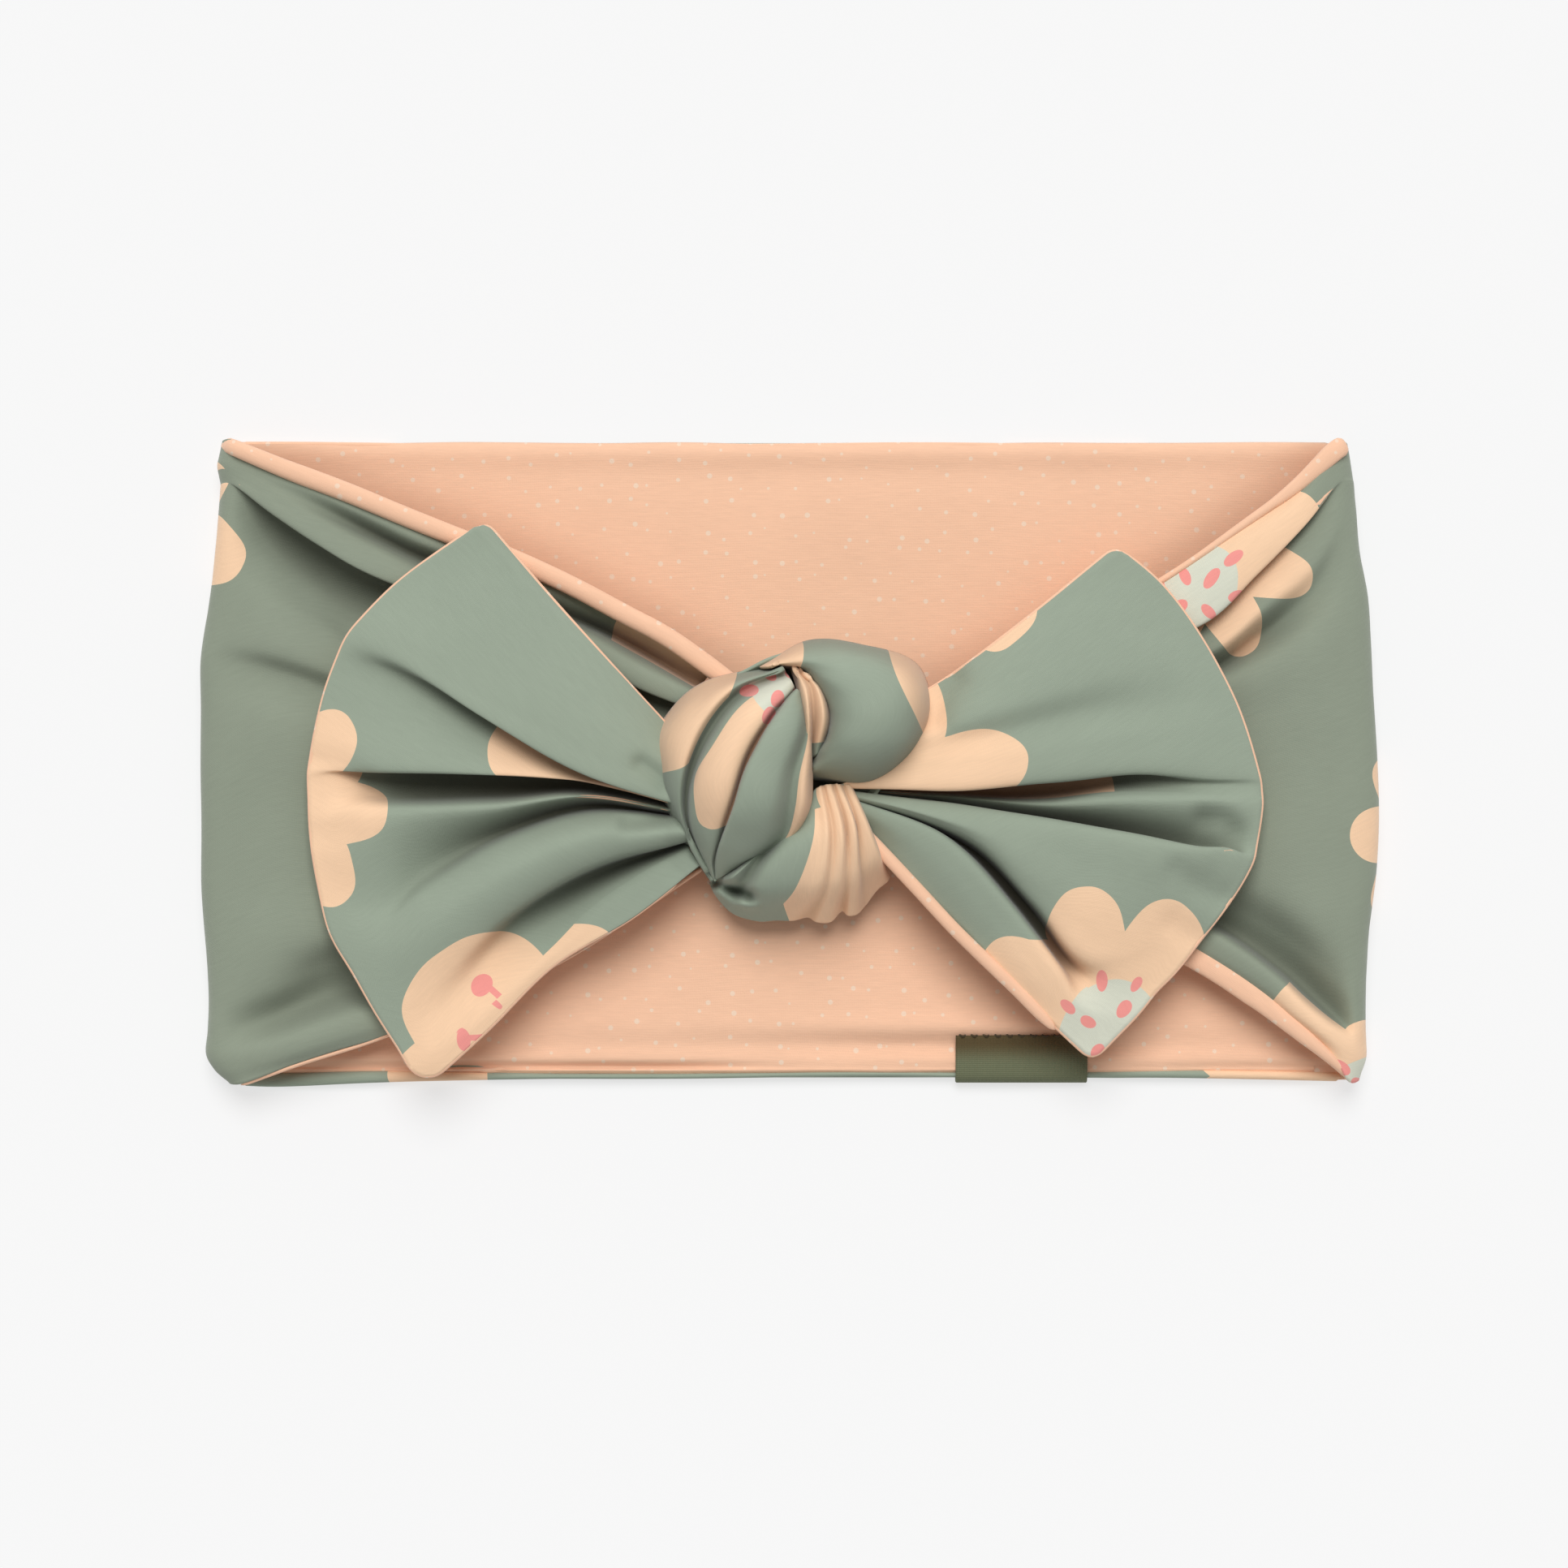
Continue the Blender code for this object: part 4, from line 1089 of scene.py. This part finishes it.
BORDERS = {
    "left": (
        (
            "top",
            (
                (-95.4, 54.2, 2), (-95.3, 53.8, 5), (-93.5, 53, 8.2), (-90, 51.5, 9.2), (-84.9, 49.4, 9.6),
                (-74.6, 45.5, 9.6), (-64.7, 41.4, 9.7), (-56.2, 38, 9.8), (-47.6, 34.7, 9.8),
                (-36.9, 29.8, 9.9), (-27.5, 24.8, 10.2), (-20.8, 21.2, 11), (-13.2, 15.9, 11.5),
                (-7, 11, 11),
            ),
            ((-96, 2.7), (-91, 2.9), (-82, 3.3)),
            2.2,
        ),
        (
            "bottom",
            ((-93, -55, 7), (-83, -51.4, 7.4), (-69.7, -47.1, 7.6), (-40, -34.7, 8.3), (-14, -17.8, 9.4)),
            0.8,
            0.9,
        ),
    ),
    "right": (
        (
            "top",
            (
                (95, 54, 6), (93, 52.8, 7.6), (86.4, 46.8, 8.4), (76.8, 39.8, 8.8), (62.8, 30.3, 9),
                (42, 19.2, 9.2), (22, 10.2, 11.3),
            ),
            ((70, 1.2), (82, 1.7), (92, 3.4)),
            1.6,
        ),
        (
            "bottom",
            (
                (95.8, -54, 6.4), (91.5, -50, 8), (85.5, -45, 8.6), (79.2, -40, 8.6), (69, -33.4, 8.6),
                (42, -20, 9), (22, -13.5, 10),
            ),
            ((60, 3.8), (78, 3.8), (88, 2.6), (96, 1.1)),
            1.5,
        ),
    ),
}


# ---------------------------------------------------------------- the ears


def add_ear(word, table, side, zones, extra=()):
    """An ear: its shell and its lining, sewn together all round its rim."""
    grid = loft(table)
    grid[..., :2] *= EAR_REACH
    for last_row in (False, True):
        grid = round_corner(grid, last_row, TIP_RADIUS)
    plain = ripple(grid, height=0.3, size=14, seed=7 + side)
    grid = dented(plain, DENTS[word])
    print_material = printed(f"ear_{word}_print", FLOWERS[f"ear_{word}"])
    split, starts = split_rows(grid, zones)
    spread = np.clip(np.linspace(0, 1 / GATHERED, ALONG), PRESSED, 1)
    thickness = CLOTH * (spread * 1.2 - 0.2)
    shell = cloth(f"ear_{word}_shell", split, print_places(split, starts), thickness)
    painted(shell, print_material)
    under = dented(plain - facing_up(plain) * (UNDER_LAYER * spread)[:, None], DENTS[word])[:, ::2]
    lining = painted(cloth(f"ear_{word}_lining", under, print_places(under), thickness[::2]), LINED)
    border = [grid[0, RIM_FROM:-1], grid[:-1, -1], grid[-1, :RIM_FROM:-1]]
    border = np.concatenate(border)
    border[:, 2] -= CLOTH
    rim = roll(f"ear_{word}_rim", smoothed(border, RIM_ROUNDS), *RIM_SIZE, taper=0.01)
    painted(rim, LINED)
    edges = [rim]
    for path, width, height in extra:
        path = even_curve(path, SHORT_EDGE)
        edges.append(roll(f"ear_{word}_border", path, width, height, taper=0.12))
        painted(edges[-1], LINED)
    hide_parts(f"seam_ear_{word}")
    for piece in (shell, lining, *edges):
        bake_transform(piece)
    declare([f"shell_ear_{word}"])
    declare([f"lining_ear_{word}"])


EAR_REACH = 0.988  # how far out an ear lies, as a share of its fold lines' own
TIP_RADIUS = 2.2
GATHERED = 0.75  # the share of an ear's length where its layers lie closer together
PRESSED = 0.4  # how close they lie at the knot, as a share of their full gap
RIM_FROM = 8  # where along a fold line the rim starts
RIM_ROUNDS = 3
RIM_SIZE = (0.8, 0.9)
# Short creases as a path, its radius and its depth. A raised one has a depth below zero.
DENTS = {
    "left": (
        (((-24.6, -0.6), (-22.6, -2), (-20.5, -4)), 1.5, 1.3),
        (((-27, -10.4), (-24, -10.2), (-21, -9.4)), 1.5, 1.6),
        (((-80, 0.4), (-75, -0.6), (-71, -3)), 1.8, 0.7),
        (((-80, -12.4), (-74, -12)), 2.2, 0.5),
    ),
    "right": (
        (((24.6, 7), (25.6, 10.4), (27.6, 13.6)), 2.6, 1.6),
        (((70, -9.6), (73.6, -10.2), (75.4, -12)), 1.9, 1.5),
        (((65.5, -18.6), (69, -21), (73, -23)), 2.4, 0.9),
        (((69, -30), (65, -27.6)), 2.4, 0.7),
    ),
}


def dented(grid, dents):
    """Presses short creases into a sheet."""
    grid = grid.copy()
    for path, radius, depth in dents:
        gaps = gaps_from(grid, even_curve([(*place, 0) for place in path], 24))
        grid[..., 2] -= depth * np.exp(-((gaps / radius) ** 2))
    return grid


def round_corner(grid, last_row, radius):
    """Rounds off a corner of a sheet's far end, by drawing the points near it inwards."""
    turned = grid[::-1, ::-1] if last_row else grid[:, ::-1]
    turned = turned.copy()
    source = turned.copy()
    steps = [np.linalg.norm(source[cell] - source[0, 0]) / 3 for cell in ((3, 0), (0, 3))]
    counts = [int(radius / step) + 1 for step in steps]
    for cell in np.ndindex(*counts):
        inward = np.maximum(radius - np.array(cell) * steps, 0)
        if inward.min() <= 0:
            continue
        place = (radius - inward * inward.max() / np.linalg.norm(inward)) / steps
        low = place.astype(int)
        part = place - low
        a, b = source[low[0], low[1]], source[low[0] + 1, low[1]]
        c, d = source[low[0], low[1] + 1], source[low[0] + 1, low[1] + 1]
        turned[cell] = (a * (1 - part[0]) + b * part[0]) * (1 - part[1]) + (
            c * (1 - part[0]) + d * part[0]
        ) * part[1]
    return turned[::-1, ::-1] if last_row else turned[:, ::-1]


def smoothed(path, rounds):
    """A path with its corners rounded a little."""
    for _ in range(rounds):
        path[1:-1] = (path[:-2] + path[1:-1] * 2 + path[2:]) / 4
    return path


# ---------------------------------------------------------------- the knot


WRAP_ALONG = 76  # points of a wrap along its fold lines


def add_wrap(name, table, zones, nodes, dents=()):
    """One turn of the cloth round the knot."""
    grid = ripple(dented(loft(table, WRAP_ALONG), dents), height=0.25, size=7, seed=20)
    grid, starts = split_rows(grid, zones)
    material = printed(f"{name}_print", FLOWERS.get(name, ()))
    piece = painted(cloth(name, grid, print_places(grid, starts)), material)
    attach(piece, "knot")
    declare(nodes)


def add_knot():
    """The knot: each wrap with its zones of print and its CAD nodes."""
    add_wrap("wrap_left", WRAP_LEFT, (3, 8, 12), ["knot_wrap_left"])
    add_wrap("wrap_right", WRAP_RIGHT, (), ["knot_wrap_right"])
    add_wrap("wrap_inner", WRAP_INNER, (), [])
    add_wrap("wrap_lower", WRAP_LOWER, (12,), ["knot_wrap_lower"], LOWER_DENTS)
    add_wrap("wrap_back", WRAP_BACK, (), ["knot_core"])


LOWER_DENTS = (
    (((-12, -20.6), (-9.4, -21.6), (-6.6, -22.7)), 1.0, 4.5),
    (((-12.4, -22), (-9.4, -23.8), (-5.6, -24.4)), 0.9, -0.8),
)
# The cloth behind the knot, from the top edge down.
WRAP_BACK = (
    ((-9, 14, 14), (-2, 17.5, 12.5), (6, 19, 12.5), (14, 17.5, 13), (19, 14, 14.5)),
    ((-17, 9, 14), (-8, 11.5, 9), (4, 13, 8), (14, 12, 9), (22, 10, 14)),
    ((-20.5, 1, 13.5), (-10, 2.5, 8), (1, 3.5, 6.5), (12, 3.5, 8), (20, 2, 14)),
    ((-19.5, -6, 13), (-10, -6, 8), (0, -6, 6.3), (8, -7, 8.2), (14, -7, 14)),
    ((-16, -13, 11), (-9, -14.5, 8), (0, -15.5, 6.6), (9, -15.5, 8), (14, -15, 11)),
    ((-12, -18.6, 9), (-6, -21.4, 7.4), (2, -22.6, 7), (9, -21.4, 7.4), (13, -18.6, 8.6)),
    ((-9.5, -22, 8.4), (-4, -24, 7.6), (3, -24.8, 7.4), (8, -24, 7.6), (11, -22, 8.2)),
)


# ---------------------------------------------------------------- the label

LABEL_X = (28.8, 51.0)
LABEL_PROFILE = (
    (-46.9, 3.1), (-49, 2.9), (-52, 3), (-54.2, 2.6), (-55, 1.5), (-54.4, 0.35), (-51, 0.15),
    (-47.5, 0.15),
)
LABEL_THICKNESS = 0.4
STITCHES = 11
STITCH_THREAD = 0.36
STITCH_PATH = ((0, -46.7, 2.7), (0.3, -46.9, 3.4), (0.6, -46.8, 2.8))  # x is a share of a stitch


def add_label():
    """A plain woven label, folded over the bottom hem and held by a row of stitches."""
    profile = [[(x, y, z) for y, z in LABEL_PROFILE] for x in np.linspace(*LABEL_X, 5)]
    grid = loft(profile, 60)
    label = cloth("label_ribbon", grid, print_places(grid), LABEL_THICKNESS)
    painted(label, woven("ribbon"))
    paths = []
    gap = (LABEL_X[1] - LABEL_X[0]) / STITCHES
    for i in range(STITCHES):
        x = LABEL_X[0] + (i + 0.2) * gap
        paths.append(even_curve([(x + gap * share, y, z) for share, y, z in STITCH_PATH], 10))
    size = (STITCH_THREAD, STITCH_THREAD)
    dashes = [roll(f"stitch_{i}", path, *size, sides=8) for i, path in enumerate(paths)]
    with bpy.context.temp_override(active_object=dashes[0], selected_editable_objects=dashes):
        bpy.ops.object.join()
    thread = painted(dashes[0], plain("thread", STITCH, BROWN))
    thread.name = "label_stitches"
    for piece in (label, thread):
        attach(piece, "band")
    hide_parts("label_thread")
    declare(["label"])


# ---------------------------------------------------------------- floor, light and camera

FLOOR_SIZE = 3
FLOOR_Z = -0.0003
FLOOR_GREY = colour(150, 150, 150)
FLOOR_GLOW = 0.65  # keeps the paper nearly white next to the object
SKY = 0.34
SUN_ENERGY = 2.2
SUN_SPREAD = 36  # degrees across
SUN_HEADING = (0.02, -0.62, -1)
CAMERA_ASIDE = (-0.69, -3.86)  # where the view is centred, from the middle of the band
VIEW_WIDTH = 266.1  # what the view takes in at the height of the front cloth
VIEW_Z = 8.0
LENS = 100.0
SENSOR = 36.0


def add_stage():
    """A plain pale floor, a soft overhead light and a camera that looks straight down."""
    bpy.ops.mesh.primitive_plane_add(size=FLOOR_SIZE, location=(0, 0, FLOOR_Z))
    floor = bpy.context.object
    floor.name = "floor"
    surface = bpy.data.materials.new("floor_paper")
    surface.use_nodes = True
    shader = surface.node_tree.nodes["Principled BSDF"]
    shader.inputs["Base Color"].default_value = FLOOR_GREY
    shader.inputs["Roughness"].default_value = 0.95
    shader.inputs["Specular IOR Level"].default_value = 0.0
    shader.inputs["Emission Color"].default_value = (1, 1, 1, 1)
    shader.inputs["Emission Strength"].default_value = FLOOR_GLOW
    floor.data.materials.append(surface)

    world = bpy.data.worlds.new("studio")
    bpy.context.scene.world = world
    world.use_nodes = True
    sky = world.node_tree.nodes["Background"].inputs
    sky["Color"].default_value = (1, 1, 1, 1)
    sky["Strength"].default_value = SKY

    lamp = bpy.data.lights.new("softbox", "SUN")
    lamp.angle = math.radians(SUN_SPREAD)
    lamp.energy = SUN_ENERGY
    softbox = bpy.data.objects.new("softbox", lamp)
    softbox.rotation_euler = Vector(SUN_HEADING).to_track_quat("-Z", "Y").to_euler()
    bpy.context.scene.collection.objects.link(softbox)

    view = bpy.data.cameras.new("camera")
    view.lens, view.sensor_width = LENS, SENSOR
    camera = bpy.data.objects.new("camera", view)
    middle = (CAD_BOX[0] + CAD_BOX[1]) / 2
    height = VIEW_Z + VIEW_WIDTH * LENS / SENSOR
    camera.location = (middle.x + CAMERA_ASIDE[0] * MM, middle.y + CAMERA_ASIDE[1] * MM, height * MM)
    bpy.context.scene.collection.objects.link(camera)
    bpy.context.scene.camera = camera
    bpy.context.scene.view_settings.view_transform = "Standard"


# The right ear's lower edge, where the lining is rolled over.
EAR_BORDER = (
    (6.5, -4.8, 14), (10.8, -10, 14), (15.6, -15, 14), (21.6, -21.4, 13.8), (27.9, -28.2, 13.7),
    (33.6, -33.8, 13.4), (38.8, -38.8, 13), (45, -45.3, 12.6),
)
EAR_BORDER_SIZE = (2.2, 1.5)

# The zones are the fold lines where the print changes, since the cloth there goes under a fold.
add_back()
add_front("left", FRONT_LEFT, -1, (3, 5), BORDERS["left"])
add_front("right", FRONT_RIGHT, 1, (4, 15), BORDERS["right"])
add_ear("left", EAR_LEFT, -1, (4, 7, 15.4))
add_ear(
    "right", EAR_RIGHT, 1, (6, 8, 15),
    [(EAR_BORDER, *EAR_BORDER_SIZE)],
)
add_knot()
add_label()
add_stage()
